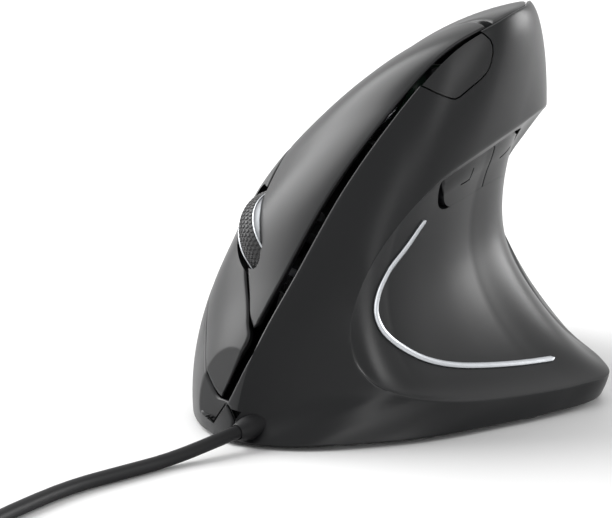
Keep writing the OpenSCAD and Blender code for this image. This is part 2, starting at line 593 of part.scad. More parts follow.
module wheel_tyre() {
  ribs = 36;
  half = tyre_width / 2;
  color("#1a1b1c") in_f() translate([0, 0, wheel_z]) rotate([-90, 0, 0]) difference() {
    translate([0, 0, -half]) cylinder(r = wheel_radius, h = tyre_width, $fn = 96);
    translate([0, 0, -half - 1]) cylinder(r = wheel_radius - 1.8, h = tyre_width + 2, $fn = 96);
    for (i = [0:ribs - 1]) rotate(i * 360 / ribs) translate([wheel_radius - 0.35, -0.35, -half - 1])
      cube([1, 0.7, tyre_width + 2]);
  }
}

module wheel_rims() {
  color("#d5d8db") in_f() translate([0, 0, wheel_z]) rotate([-90, 0, 0]) for (s = [0, 1]) mirror([0, 0, s])
    translate([0, 0, tyre_width / 2]) difference() {
      cylinder(r1 = wheel_radius - 0.4, r2 = wheel_radius - 1, h = rim_width, $fn = 96);
      translate([0, 0, -1]) cylinder(r = wheel_radius - 2.6, h = rim_width + 2, $fn = 96);
    }
}

module wheel_hub() {
  wide = tyre_width / 2 + rim_width;
  color("#3a3c40") in_f() translate([0, 0, wheel_z]) rotate([-90, 0, 0]) difference() {
    union() {
      translate([0, 0, -tyre_width / 2]) cylinder(r = wheel_radius - 1.8, h = tyre_width, $fn = 96);
      translate([0, 0, -wide]) cylinder(r = wheel_radius - 2.6, h = 2 * wide, $fn = 96);
    }
    translate([0, 0, -wide - 1]) cylinder(r = axle_radius, h = 2 * wide + 2);
    for (a = [0:60:300]) rotate(a) translate([4.6, 0, -wide - 1]) cylinder(r = 1.4, h = 2 * wide + 2);
  }
}

module wheel_axle() {
  color("#b8bcc0") in_f() translate([0, -arm_out - 0.6, wheel_z]) rotate([-90, 0, 0])
    cylinder(r = axle_radius, h = 2 * arm_out + 3.6);
}

module wheel_cradle() {
  color("#44474c") in_f() difference() {
    union() {
      for (y = [-arm_out, arm_in]) translate([0, y, 0]) {
        translate([pivot_x - 2.4, 0, beam_low]) cube([5 - pivot_x, arm_out - arm_in, beam_tall]);
        translate([0, 0, wheel_z]) rotate([-90, 0, 0]) cylinder(r = 2.6, h = arm_out - arm_in);
      }
      translate([push_x - 1.5, -arm_out, beam_low]) cube([3, 2 * arm_out, beam_tall]);
      translate([push_x, 0, tact_top + plunger_out + post_gap])
        cylinder(r = 1.3, h = beam_low + 1 - tact_top - plunger_out - post_gap);
    }
    translate([0, -arm_out - 1, wheel_z]) rotate([-90, 0, 0])
      cylinder(r = axle_radius + run_fit, h = 2 * arm_out + 2);
    translate([pivot_x, -arm_out - 1, pivot_z]) rotate([-90, 0, 0])
      cylinder(r = pin_radius + run_fit, h = 2 * arm_out + 2);
  }
}

module wheel_encoder() {
  color("#2f6b4a") in_f() difference() {
    translate([-4, arm_out, wheel_z - 4]) cube([8, 2.6, 6.8]);
    translate([0, arm_out - 1, wheel_z]) rotate([-90, 0, 0]) cylinder(r = axle_radius + run_fit, h = 5);
  }
}

ear_gap = 0.4;
ear_wall = 1.8;
module cradle_pin() {
  long = arm_out + ear_gap + ear_wall;
  color("#b8bcc0") in_f() translate([pivot_x, -long, pivot_z]) rotate([-90, 0, 0])
    cylinder(r = pin_radius, h = 2 * long);
}

hinge_y = [-11, -9, -1, 1, 9, 11];
module hinge_pin() {
  color("#b8bcc0") in_f() translate([hinge_x, hinge_y[0], hinge_z]) rotate([-90, 0, 0])
    cylinder(r = pin_radius, h = hinge_y[5] - hinge_y[0]);
}

// holes that let the ears of the rail through the board
module ear_block(grow) {
  y0 = arm_out + ear_gap;
  for (y = [-y0 - ear_wall, y0]) translate([pivot_x - 2.6 - grow, y - grow, rail_low])
    cube([5.2 + 2 * grow, ear_wall + 2 * grow, pivot_z + 2.2 - rail_low]);
}

module switch_rail() {
  color("#5a5d62") difference() {
    union() {
      in_f() {
        translate([0, 0, rail_low]) linear_extrude(2) polygon([[-44, -13], [8, -13], [8, 0],
          behind(0, 8, rail_low), [-29.5, 8], [-29.5, 11.5], [-44, 11.5]]);
        ear_block(0);
        for (i = [0, 2, 4]) translate([hinge_x - 2.6, hinge_y[i], rail_low])
          cube([5.2, hinge_y[i + 1] - hinge_y[i], hinge_z + 2.6 - rail_low]);
        for (p = [[4, -10], [0, 4], [-26, -10], [-26, 5]]) translate([p[0], p[1], rail_top - 0.5])
          cylinder(r = 2, h = board_low - rail_top + 0.5);
      }
      difference() {
        for (p = leg_at) translate([p[0], p[1], plate_top]) cylinder(r = leg_radius, h = body_height);
        in_f() translate([-100, -100, rail_low + 1]) cube([200, 200, 100]);
      }
    }
    in_f() {
      translate([pivot_x, -20, pivot_z]) rotate([-90, 0, 0]) cylinder(r = pin_radius, h = 40);
      translate([hinge_x, -20, hinge_z]) rotate([-90, 0, 0]) cylinder(r = pin_radius, h = 40);
    }
  }
}

module finger_board() {
  color("#1f5a3c") in_f() difference() {
    translate([0, 0, board_low]) linear_extrude(board_wall) polygon([[8, -13], [8, 0],
      behind(0, 8, board_low), behind(-2, 13, board_low), behind(-18, 13, board_low), [-20, 8], [-30, 8],
      [-30, -13]]);
    ear_block(0.4);
  }
}

module switch_body(p) {
  translate([p[0], p[1], 0]) difference() {
    translate([-switch_length * 0.62, -switch_width / 2, board_top])
      cube([switch_length, switch_width, switch_height]);
    translate([0, 0, board_top + bore_floor]) cylinder(r = plunger_radius + run_fit, h = switch_height);
  }
}

module plunger(low, top) {
  translate([0, 0, low]) cylinder(r = plunger_radius, h = top - low);
}

module left_switch() { color("#1c1d1f") in_f() switch_body(left_post); }

module right_switch() { color("#1c1d1f") in_f() switch_body(right_post); }

module left_plunger() {
  color("#c23b30") in_f() translate([left_post[0], left_post[1], 0])
    plunger(board_top + plunger_floor, plunger_top);
}

module right_plunger() {
  color("#c23b30") in_f() translate([right_post[0], right_post[1], 0])
    plunger(board_top + plunger_floor, plunger_top);
}

module tact(low) {
  difference() {
    translate([-tact_side / 2, -tact_side / 2, low]) cube([tact_side, tact_side, tact_height]);
    translate([0, 0, low + tact_bore_floor]) cylinder(r = plunger_radius + run_fit, h = tact_height);
  }
}

module wheel_switch() { color("#1c1d1f") in_f() translate([push_x, 0, 0]) tact(board_top); }

module wheel_plunger() {
  color("#d9d4c4") in_f() translate([push_x, 0, 0])
    plunger(board_top + tact_plunger_floor, tact_top + plunger_out);
}

module side_board() {
  low = forward_post[1] - tact_side / 2 - 0.4;
  high = max(side_post[0][1], side_post[1][1]) + 2.4;
  color("#1f5a3c") in_g() translate([forward_post[0] - 4, low, side_top - board_wall])
    cube([back_post[0] - forward_post[0] + 8, high - low, board_wall]);
}

module forward_switch() {
  color("#1c1d1f") in_g() translate([forward_post[0], forward_post[1], 0]) tact(side_top);
}

module back_switch() {
  color("#1c1d1f") in_g() translate([back_post[0], back_post[1], 0]) tact(side_top);
}

module forward_plunger() {
  color("#d9d4c4") in_g() translate([forward_post[0], forward_post[1], 0])
    plunger(side_top + tact_plunger_floor, side_plunger_top);
}

module back_plunger() {
  color("#d9d4c4") in_g() translate([back_post[0], back_post[1], 0])
    plunger(side_top + tact_plunger_floor, side_plunger_top);
}

module speed_board() {
  a = speed_post[0];
  b = speed_post[1];
  h = tact_side / 2 + 0.4;
  color("#1f5a3c") in_d() translate([0, 0, dpi_top - board_wall]) linear_extrude(board_wall)
    polygon([[h, -h], [h, h], [a[0] + 2, a[1] + 2], [a[0] - 2, a[1] + 2], [a[0] - 2, a[1] - 2],
      [b[0] - 2, b[1] - 2], [b[0] + 2, b[1] - 2]]);
}

module speed_switch() { color("#1c1d1f") in_d() tact(dpi_top); }

module speed_plunger() {
  color("#d9d4c4") in_d() plunger(dpi_top + tact_plunger_floor, dpi_top + tact_height + plunger_out);
}

// front edge of the main board, under the cable's socket
socket_edge = [for (p = [[-4.6, 1], [3.6, 1], [3.6, 6]]) [lead[0][0] + p[0], lead[0][1] + p[1]]];
module main_board() {
  color("#1f5a3c") difference() {
    translate([0, 0, board_z]) linear_extrude(board_wall) polygon(concat(
      placed([[-25, -20], [-14, -37]]), socket_edge,
      placed([[2.5, -37], [12, -28], [13, -10], [8, 26], [-24, 26]])));
    for (p = leg_at) translate([p[0], p[1], board_z - 1])
      cylinder(r = leg_radius + leg_gap, h = board_wall + 2);
    translate([sensor_at[0], sensor_at[1], board_z - 1])
      cylinder(r = lens_stem + loose_fit, h = board_wall + 2);
  }
}

module sensor_chip() {
  color("#151617") translate([sensor_at[0] - 6, sensor_at[1] - 4.5, board_z + board_wall])
    cube([12, 9, 3]);
}

module sensor_lens() {
  color("#cfe3ea") translate([sensor_at[0], sensor_at[1], 0]) {
    translate([0, 0, pad_height + 0.6]) cylinder(r = lens_radius, h = plate_top - pad_height - 0.6);
    translate([0, 0, plate_top]) cylinder(r = 5, h = 1.2);
    translate([0, 0, plate_top + 1.2]) cylinder(r = lens_stem, h = board_z - plate_top - 0.8);
  }
}

module sensor_lamp() {
  color("#d23a2e") translate([sensor_at[0], sensor_at[1] - 9, board_z + board_wall]) union() {
    cylinder(r = 1.5, h = 3);
    cylinder(r = 1.9, h = 0.8);
  }
}

module cable_socket() {
  color("#e6e2d6") translate([lead[0][0] - 3.5, lead[0][1] + 1, board_z + board_wall])
    cube([7, 4.6, 4]);
}

module case_screws() {
  color("#a9adb2") for (p = boss_at) translate([p[0], p[1], pad_height + 0.2]) union() {
    cylinder(r = head_radius, h = 1);
    cylinder(r = screw_radius - 0.02, h = 6.5);
  }
}

module strain_relief() {
  color("#1d1e20") at_exit() difference() {
    union() {
      translate([0, 0, -9]) cylinder(r = relief_flange, h = 1.6);
      translate([0, 0, -8]) cylinder(r = relief_radius, h = 9);
      translate([0, 0, 0.9]) cylinder(r1 = cable_radius + 0.7, r2 = cable_radius + 0.35, h = 2.5);
    }
    translate([0, 0, -10]) cylinder(r = cable_radius + 0.15, h = 16);
  }
}

// a tube along a line of points
function turn(a, b, v) = let (c = cross(a, b), s = norm(c), d = a * b)
  s < 0.000001 ? v : let (k1 = c / s) v * d + cross(k1, v) * s + k1 * (k1 * v) * (1 - d);
function ways(P) = let (n = len(P)) [for (i = [0:n - 1])
  unit(i == 0 ? P[1] - P[0] : i == n - 1 ? P[n - 1] - P[n - 2]
    : unit(P[i + 1] - P[i]) + unit(P[i] - P[i - 1]))];
function sides(T, i = 0, v = [0, 0, 1]) = let (w = i == 0 ? unit(v - (v * T[0]) * T[0])
  : turn(T[i - 1], T[i], v)) i == len(T) - 1 ? [w] : concat([w], sides(T, i + 1, w));
module tube(P, r, n) {
  T = ways(P);
  V = sides(T);
  m = len(P);
  points = [for (i = [0:m - 1]) let (y = cross(T[i], V[i])) for (q = [0:n - 1])
    let (a = 360 * (q + 0.5) / n) P[i] + r * (cos(a) * V[i] + sin(a) * y)];
  faces = concat([for (i = [0:m - 2], q = [0:n - 1]) let (a = i * n + q, b = i * n + (q + 1) % n)
    each [[a, b, b + n], [a, b + n, a + n]]],
    [for (q = [1:n - 2]) [0, q + 1, q]],
    [for (q = [1:n - 2]) [(m - 1) * n, (m - 1) * n + q, (m - 1) * n + q + 1]]);
  polyhedron(points, faces, convexity = 10);
}

lead_steps = 60;
module cable_lead() {
  color("#232427") tube([for (i = [0:lead_steps]) along(lead, i / lead_steps * (len(lead) - 1))],
    cable_radius, 8);
}

// the coil: in along one layer, a climb over half a turn, out along the next
per_loop = 24;
layer_steps = coil_loops * per_loop;
climb_steps = per_loop / 2;
function coil_angle(i) = coil_start + 360 * i / per_loop;
function layer_at(n, i) = coil_point(coil_angle(n * (layer_steps + climb_steps) + i),
  n % 2 == 0 ? coil_wide - coil_pitch * i / per_loop : coil_thin + coil_pitch * i / per_loop,
  coil_low + coil_rise * n);
function climb_at(n, i) = let (out = coil_pitch * min(i, climb_steps - i) / per_loop)
  coil_point(coil_angle(n * (layer_steps + climb_steps) + layer_steps + i),
    n % 2 == 0 ? coil_thin - out : coil_wide + out,
    coil_low + coil_rise * (n + (1 - cos(180 * i / climb_steps)) / 2));
coil_line = concat([lead_end], [for (n = [0:coil_layers - 1]) each concat(
  [for (i = [0:layer_steps]) layer_at(n, i)],
  n == coil_layers - 1 ? [] : [for (i = [1:climb_steps - 1]) climb_at(n, i)])]);
coil_top = coil_low + coil_rise * (coil_layers - 1);
coil_stop = coil_angle(coil_layers * (layer_steps + climb_steps) - climb_steps);
tail_way = [-sin(coil_stop), cos(coil_stop), 0];
tail_from = coil_point(coil_stop, coil_wide, coil_top);
grip_tall = 8;
grip_z = grip_tall / 2 + 0.05;
tail = [for (i = [1:6]) tail_from + tail_way * 4.4 * i
  + [0, 0, (grip_z - coil_top) * (1 - cos(min(180, 36 * i))) / 2]];
coil_all = concat(coil_line, tail);
grip_from = coil_all[len(coil_all) - 1];
module cable_coil() { color("#232427") tube(coil_all, cable_radius, 6); }

// least gap of the coil to itself, measured on its middle line
far = 10;
gaps = [for (i = [0:4:len(coil_all) - 1], j = [i + far:len(coil_all) - 1])
  norm(coil_all[i] - coil_all[j]) - cable_diameter];
echo(coil_gap_to_itself = min(gaps));

module cable_tie() {
  inner = coil_thin - coil_pitch / 4 - cable_radius - 0.4;
  outer = coil_wide + coil_pitch / 4 + cable_radius + 0.4;
  tall = 2 * cable_radius + coil_rise * (coil_layers - 1) + 0.5;
  color("#141516") translate([coil_at[0], coil_at[1], 0]) rotate(coil_start + tie_turn) difference() {
    translate([inner - tie_wall, -1.6, 0]) cube([outer - inner + 2 * tie_wall, 3.2, tall + 2 * tie_wall]);
    translate([inner, -3, tie_wall]) cube([outer - inner, 6, tall]);
  }
}

// plug: the grip takes the end of the cable, the shell stands out of the grip
grip_long = 20;
shell_long = 12;
module at_plug() in_frame(grip_from, tail_way, cross([0, 0, 1], tail_way), [0, 0, 1]) children();

module plug_grip() {
  color("#1d1e20") at_plug() union() {
    rotate([0, 90, 0]) cylinder(r1 = cable_radius + 0.65, r2 = cable_radius + 1.25, h = 5);
    translate([4.5, -7, -grip_tall / 2]) cube([grip_long - 4.5, 14, grip_tall]);
  }
}

module plug_shell() {
  color("#c3c7cb") at_plug() difference() {
    translate([grip_long, -6, -2.25]) cube([shell_long, 12, 4.5]);
    translate([grip_long + 0.4, -5.7, -1.95]) cube([shell_long, 11.4, 3.9]);
    for (y = [-3, 3]) translate([grip_long + 6, y - 1.25, 0]) cube([2.5, 2.5, 4]);
  }
}

module plug_tongue() {
  color("#e9e9e6") at_plug() translate([grip_long + 0.4, -5.5, -1.75]) cube([shell_long - 1, 11, 1.75]);
}

module plug_contacts() {
  color("#d4b25a") at_plug() for (y = [-3.5, -1, 1, 3.5]) translate([grip_long + 2, y - 0.5, 0])
    cube([shell_long - 3.6, 1, 0.2]);
}

base_plate();
glide_pads();
thumb_shell();
palm_cover();
left_button();
right_button();
speed_button();
forward_key();
back_key();
accent_strip();
wheel_tyre();
wheel_rims();
wheel_hub();
wheel_axle();
wheel_cradle();
wheel_encoder();
cradle_pin();
hinge_pin();
switch_rail();
finger_board();
left_switch();
right_switch();
wheel_switch();
left_plunger();
right_plunger();
wheel_plunger();
side_board();
forward_switch();
back_switch();
forward_plunger();
back_plunger();
speed_board();
speed_switch();
speed_plunger();
main_board();
sensor_chip();
sensor_lens();
sensor_lamp();
cable_socket();
case_screws();
strain_relief();
cable_lead();
cable_coil();
cable_tie();
plug_grip();
plug_shell();
plug_tongue();
plug_contacts();
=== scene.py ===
"""Upright ergonomic mouse: modelled shells, wheel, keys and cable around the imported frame."""

import json
import math

import bpy
import numpy as np
from mathutils import Matrix, Vector


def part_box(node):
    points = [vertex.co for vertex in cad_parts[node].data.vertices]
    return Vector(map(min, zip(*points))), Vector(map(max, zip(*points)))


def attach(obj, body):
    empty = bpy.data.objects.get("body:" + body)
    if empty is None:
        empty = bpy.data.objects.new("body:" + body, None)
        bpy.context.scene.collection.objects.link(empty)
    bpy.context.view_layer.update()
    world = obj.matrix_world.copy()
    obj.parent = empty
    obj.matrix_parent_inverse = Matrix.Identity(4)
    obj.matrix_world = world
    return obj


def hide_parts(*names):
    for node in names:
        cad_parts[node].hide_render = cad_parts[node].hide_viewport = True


bl_info = {
    "name": "Upright mouse",
    "version": (1, 0, 0),
    "blender": (4, 5, 0),
    "location": "3D View > Sidebar > Mouse",
    "description": "Models an upright mouse with a thumb scoop around its packed frame",
    "category": "Add Mesh",
}

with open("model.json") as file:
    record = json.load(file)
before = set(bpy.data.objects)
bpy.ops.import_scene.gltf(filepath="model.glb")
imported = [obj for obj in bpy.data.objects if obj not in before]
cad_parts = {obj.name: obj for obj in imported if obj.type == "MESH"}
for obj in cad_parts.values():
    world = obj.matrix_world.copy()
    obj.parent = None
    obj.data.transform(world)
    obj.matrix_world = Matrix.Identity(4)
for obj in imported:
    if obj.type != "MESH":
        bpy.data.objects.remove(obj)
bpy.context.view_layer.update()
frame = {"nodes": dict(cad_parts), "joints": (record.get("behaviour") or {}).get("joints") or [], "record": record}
MM = 0.001

# Body lines, in millimetres over the foot of the shells, as in the part's own source
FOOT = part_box("glide_pads")[1].z / MM
SHIFT = np.array([-0.5, 1.2, FOOT])


def body_line(rows):
    """A line of the body in the frame's place."""
    return np.array(rows, float) + SHIFT


SEAM = body_line([
    (-16, -56, 0), (-13, -53.5, 14.5), (-6.5, -49, 29.2), (0.5, -44.5, 43.7), (9, -39.5, 57.2),
    (16.5, -35, 66.7), (23, -28, 71.5), (24, -18, 72.9), (20, -5, 71.7), (13.5, 9, 66.2),
    (5.5, 23, 56.2), (-3.5, 36, 41.2), (-10.5, 47, 22.2), (-12, 54, 0)])
FOOT_FINGER = body_line([
    (-20.5, -53, 0), (-25, -48.2, 0), (-29, -42, 0), (-32, -35.5, 0), (-33.5, -28.5, 0),
    (-34.5, -21, 0), (-35, -13, 0), (-35, -4, 0), (-34.5, 6, 0), (-33.5, 17, 0),
    (-31.5, 28, 0), (-28, 38, 0), (-23.5, 46, 0), (-17, 52, 0)])
RISE_FINGER = np.array([
    (0, 0, 2), (-1, -1, 8), (-1, -1, 16), (-1, -1, 24), (-1, 0, 30), (-1, 0, 34), (-1, 0, 36),
    (-1, 0, 37), (-1, 0, 36), (-1, 0, 33), (-1, 0, 27), (-1, 1, 19), (0, 1, 10), (0, 0, 2)], float)
LEAN_FINGER = np.array([
    (-1, 0.5, 1), (-5, 1, -1), (-10, 1, -2), (-14, 0, -2), (-15, -1, -2), (-17.5, -2, -1),
    (-23, -1, -2), (-27, 0, -5), (-28, 0, -5), (-26, 1, -4), (-21, 3, -2), (-14, 5, 0),
    (-7, 4, 1), (-1.5, 0.5, 1)], float)
FOOT_THUMB = body_line([
    (-16, -56, 0), (-10, -56.5, 0), (-2, -54.5, 0), (7.5, -48, 0), (16, -40, 0), (23.5, -28.5, 0),
    (29.5, -18, 0), (34, -6.5, 0), (32.5, 3, 0), (27.5, 14.5, 0), (21, 26, 0), (13, 37, 0),
    (2.5, 47, 0), (-12, 54, 0)])
CREASE = body_line([
    (-0.5, 40, 23.7), (0.5, 36, 28.7), (6.5, 26, 37.2), (13.5, 15, 44.2), (20, 4, 50.2),
    (24.5, -8, 53.2), (23, -19, 51.2), (19, -29, 47.7), (14.5, -36.5, 43.7), (9.5, -41.5, 37.2),
    (5.5, -45.5, 29.7), (3, -47, 21.7), (3.5, -47.5, 14.7), (6.5, -46.5, 10.4), (10, -44.5, 8.2),
    (13, -41.5, 6.8), (17, -37.5, 5.8), (21.5, -31.5, 5), (27.5, -22, 4.5), (32.5, -13, 4.3),
    (36, -4, 4.6), (32, 4.5, 5.4), (24, 13, 7.2), (16, 21, 10.2), (9, 29.5, 14.2),
    (3.5, 36.5, 18.7)])
SWELL = body_line([
    (-4, 49, 14.2), (-2, 44, 26.2), (5, 34, 41.2), (12, 20, 55.2), (19, 6, 64.2), (25, -8, 69.2),
    (27.5, -19, 70.2), (25, -29, 66.2), (18, -36.5, 58.7), (10.5, -41.5, 49.2), (3.5, -46, 37.7),
    (-2, -49.5, 26.2), (-6.5, -52, 15.2), (-8, -54, 6.2), (-1, -53.5, 4.2), (6, -49.5, 3.7),
    (13, -43, 3), (19.5, -35.5, 2.4), (26, -25, 2.2), (31.5, -15, 2.2), (35.5, -5, 2.2),
    (33, 4, 2.7), (26.5, 14.5, 4.2), (19.5, 25, 6.2), (12, 35.5, 8.2), (5, 44, 10.2)])
SCOOP_DEPTH = np.array([(0, 0.2), (0.1, 0.3), (0.3, 0.42), (0.5, 0.45), (0.7, 0.38), (0.9, 0.2), (1, 0.1)])

# Stations on the loop around the thumb half: the scoop's front tip, the nose and a whole turn
SCOOP_TIP = 11.5
NOSE = 13
LOOP = 26
WALL = 2.2

# Fuller finger side by the wheel and deeper scoop, each fading with the distance from its middle
BULGE_AT = np.array((-21.5, -28, 39))
BULGE_WAY = np.array((-0.83, -0.24, 0.5))
BULGE = 1.05
BULGE_REACH = 14
DEEPER = 1.9
DEEPER_AT = (0.63, 0.53)
DEEPER_REACH = (0.17, 0.18)

# Lines of the finger panels as pairs of station and height on the finger side
LEFT_LOW = [(1.38, 0.868), (1.57, 0.785), (1.8, 0.73), (2.2, 0.66), (2.6, 0.617), (3.4, 0.557),
            (4.3, 0.517), (5.6, 0.502), (7, 0.497), (8.4, 0.497)]
LEFT_STATIONS = [1.42, 1.85, 2.3, 2.8, 3.3, 3.8, 4.3, 4.8, 5.25, 5.7]
RIGHT_LOW = [(0.615, 0.496), (0.725, 0.447), (0.92, 0.402), (1.25, 0.368), (1.7, 0.345), (2.4, 0.33),
             (3.4, 0.325), (4.5, 0.325), (6, 0.325), (7.3, 0.325), (8.6, 0.325)]
RIGHT_HIGH = [(0.62, 0.502), (0.8, 0.668), (1.02, 0.795), (1.25, 0.862), (1.51, 0.785), (2.15, 0.653),
              (2.9, 0.58), (4.3, 0.503), (5.6, 0.488), (7, 0.483), (8.4, 0.483)]
PALM_HIGH = [(0, 0.97), (0.2, 0.97), (0.3, 0.84), (0.44, 0.685), (0.595, 0.495), (0.7, 0.43), (0.9, 0.395),
             (1.25, 0.36), (1.7, 0.337), (2.4, 0.321), (3.4, 0.316), (4.5, 0.316), (6, 0.316), (7.3, 0.316),
             (8.68, 0.309)]
LIP_LINE = np.array([(0.235, 0.985), (0.31, 0.86), (0.445, 0.716), (0.577, 0.809), (0.727, 0.886),
                     (0.872, 0.936), (1.094, 0.997)])
SEAM_GAP = np.array([(0, 2.6), (2, 2.4), (3.5, 1.9), (4.5, 1.3), (5.2, 1), (6, 0.8), (13, 0.7)])
HEEL = 12.95
PALM_T = 0.309
PALM_FRONT = np.array([(PALM_T, 8.68), (0.49, 8.58), (0.99, 5.85)])
PANEL_RUN = 85.0
EDGE_DRAFT = 0.014
TIP_DRAFT = 0.05

# Flat beside the gap at the nose: a point on it and its outward direction
FLAT_AT = np.array((-20.94, -49.05, 10.99))
FLAT_OUT = np.array((-0.482, -0.869, 0.113))

# Zigzag joint of the nose's corner and a dark notch beside it, in millimetres across the view at the nose
NOSE_DEPTH = 525.8
ZIGZAG = np.array([(-20.3, -26.6), (-19, -25.7), (-16, -28.2), (-13.9, -25)])
ZIGZAG_HALF = (0.2, 0.24, 0.24, 0.1)
NOSE_NOTCH = np.array([(-12.9, -25.75), (-11.1, -26.3), (-12.1, -27.6)])

# Openings of the thumb half: the thumb keys' window and the speed button's notch
WINDOW_J = (0.369, 0.657)
WINDOW_SLANT = 0.24
WINDOW_T = (0.13, 0.312)
WINDOW_MIDDLE = (0.52, 0.2)
WINDOW_ROUND = (0.02, 0.045, 0.012, 0.012)
ROUND_J = 0.45
SPEED_LINE = [(8.66, -0.16), (8.656, 0.02), (8.53, 0.12), (8.389, 0.226), (8.21, 0.335), (8.029, 0.427),
              (7.94, 0.462), (7.842, 0.477), (7.7, 0.476), (7.588, 0.472), (7.45, 0.466), (7.348, 0.452),
              (7.285, 0.42), (7.255, 0.377), (7.241, 0.312), (7.258, 0.23), (7.308, 0.156), (7.4, 0.07),
              (7.482, 0), (7.6, -0.16)]
SPEED_MIDDLE = (7.95, 0.3)
STRIP = [(0.38, 0.307), (0.345, 0.375), (0.3, 0.425), (0.265, 0.475), (0.25, 0.54), (0.265, 0.62),
         (0.3, 0.695), (0.345, 0.765), (0.395, 0.815), (0.44, 0.842), (0.49, 0.86), (0.54, 0.872)]

# Cable: the free stretch from the socket to the coil, then the coil's own sizes
EXIT = np.array((-13, -53.9, 3.4))
EXIT_WAY = np.array((-0.38, -0.92, -0.08))
LEAD_SIDE = 19.4
LEAD_STRAIGHT = (12, 6, 0, -5)
LEAD_LIFTED = [(-3.8, -8.9, 2.4), (-5.1, -11.8, 2), (-6.5, -14.6, 1.6)]
LEAD_LYING = [(-8.4, -18.8), (-10.5, -24.2), (-13, -30.3), (-15.1, -35.9), (-16.7, -42.4), (-17.8, -49.8),
              (-18.5, -56), (-19, -63), (-19.3, -71), (-LEAD_SIDE, -80), (-LEAD_SIDE, -92)]
LEAD_POINTS = 34
COIL_AHEAD = 126
COIL_LOOPS = 3
COIL_LAYERS = 4
COIL_RADIUS = 14.4
COIL_GAP = 0.55
COIL_PER_LOOP = 24
COIL_LIFT = 0.1
LEAD_LIFT = 0.05
TIE_WALL = 0.5
TAIL_STEP = 4.4
TAIL_TURN = 36
TAIL_POINTS = 6

# Strain relief: how far each ring stands out from the cable, and its place along the exit
RELIEF = [(0.15, -9), (1.5, -9), (1.5, -7.4), (0.9, -7.3), (0.9, 0.2), (0.85, 0.9), (0.74, 1.5), (0.58, 2.1),
          (0.42, 2.7), (0.28, 3.2), (0.15, 3.4), (0.15, -9)]


def unit(v):
    """Vectors of length one."""
    return v / np.linalg.norm(v, axis=-1, keepdims=True)


def along(line, s):
    """Points on an open curve through a line's points, at stations s."""
    line = np.asarray(line, float)
    padded = np.vstack([2 * line[0] - line[1], line, 2 * line[-1] - line[-2]])
    i = np.clip(np.floor(s).astype(int), 0, len(line) - 2)
    return through(padded[i], padded[i + 1], padded[i + 2], padded[i + 3], (s - i)[..., None])


def around(line, s):
    """Points on a closed curve through a line's points, at stations s."""
    i = np.floor(s).astype(int)
    n = len(line)
    return through(line[(i - 1) % n], line[i % n], line[(i + 1) % n], line[(i + 2) % n], (s - i)[..., None])


def through(a, b, c, d, f):
    """One stretch of a curve that passes through b and c."""
    return 0.5 * (2 * b + (c - a) * f + (2 * a - 5 * b + 4 * c - d) * f ** 2
                  + (3 * b - a - 3 * c + d) * f ** 3)


def rib3(a, b, c, d, t):
    """A cubic rib from a to d with handles b and c."""
    return a * (1 - t) ** 3 + 3 * b * t * (1 - t) ** 2 + 3 * c * t ** 2 * (1 - t) + d * t ** 3


def rib2(a, b, c, t):
    """A quadratic rib from a to c with handle b."""
    return a * (1 - t) ** 2 + 2 * b * t * (1 - t) + c * t ** 2


def finger(s, t):
    """The finger side: s from nose to heel, t from foot to seam."""
    a, b = along(FOOT_FINGER, s), along(SEAM, s)
    points = rib3(a, a + along(RISE_FINGER, s), b + along(LEAN_FINGER, s), b, t[..., None])
    far = np.linalg.norm(points - BULGE_AT, axis=-1, keepdims=True) / BULGE_REACH
    return points + BULGE * np.exp(-far ** 2) * BULGE_WAY


def rim(u):
    """The edge of the thumb half: along the seam, then along its foot."""
    return np.where((u <= NOSE)[..., None], along(SEAM, NOSE - np.minimum(u, NOSE)),
                    along(FOOT_THUMB, np.maximum(u, NOSE) - NOSE))


def band(u, t):
    """The outer band of the thumb half: u around the loop, t from the rim to the crease."""
    return rib2(rim(u), around(SWELL, u), around(CREASE, u), t[..., None])


def lip_u(j):
    """Station of the lip on the loop."""
    return SCOOP_TIP * (1 - j)


def flange_u(j):
    """Station of the flange on the loop."""
    return SCOOP_TIP + (LOOP - SCOOP_TIP) * j


def hollow(a, b, j, t):
    """A rib of the scoop between a point of the lip and one of the flange."""
    d = np.linalg.norm(a - b, axis=-1, keepdims=True) * np.interp(j, *SCOOP_DEPTH.T)[..., None]
    return rib3(a, a + d * (-0.75, 0, -0.35), b + d * (-0.85, 0, 0.3), b, t[..., None])


def scoop(j, t):
    """The thumb scoop: j from its front tip to its rear tip, t from the lip to the flange."""
    far = ((j - DEEPER_AT[0]) / DEEPER_REACH[0]) ** 2 + ((t - DEEPER_AT[1]) / DEEPER_REACH[1]) ** 2
    deeper = DEEPER * np.exp(-far)[..., None] * (-1, 0, 0)
    return hollow(around(CREASE, lip_u(j)), around(CREASE, flange_u(j)), j, t) + deeper


STEP = 0.004


def normal(surface, a, b, sign):
    """Outward direction of a surface."""
    da = surface(a + STEP, b) - surface(a - STEP, b)
    db = surface(a, b + STEP) - surface(a, b - STEP)
    return sign * unit(np.cross(da, db))


def finger_out(s, t):
    """Outward direction on the finger side."""
    return normal(finger, s, t, -1)


def band_out(u, t):
    """Outward direction on the band."""
    return normal(band, np.clip(u, 0.01, LOOP - 0.01), t, 1)


def scoop_out(j, t):
    """Outward direction in the scoop."""
    return normal(scoop, j, t, -1)


def level(v):
    """The part of a direction that lies in the desk's plane."""
    return unit(v * (1, 1, 0))


def mitre(a, b):
    """Inner corner of two walls of thickness one."""
    return (a + b) / (1 + np.maximum(-0.2, (a * b).sum(-1, keepdims=True)))


def like(a, value):
    """An array of one value in the shape of another."""
    return np.full(np.shape(a), float(value))


def seam_in(s):
    """Inner edge of the walls along the seam."""
    inner = np.clip(s, 0.3, NOSE - 0.3)
    way = mitre(finger_out(inner, like(s, 0.97)), band_out(NOSE - inner, like(s, 0.03)))
    return along(SEAM, s) - WALL * way


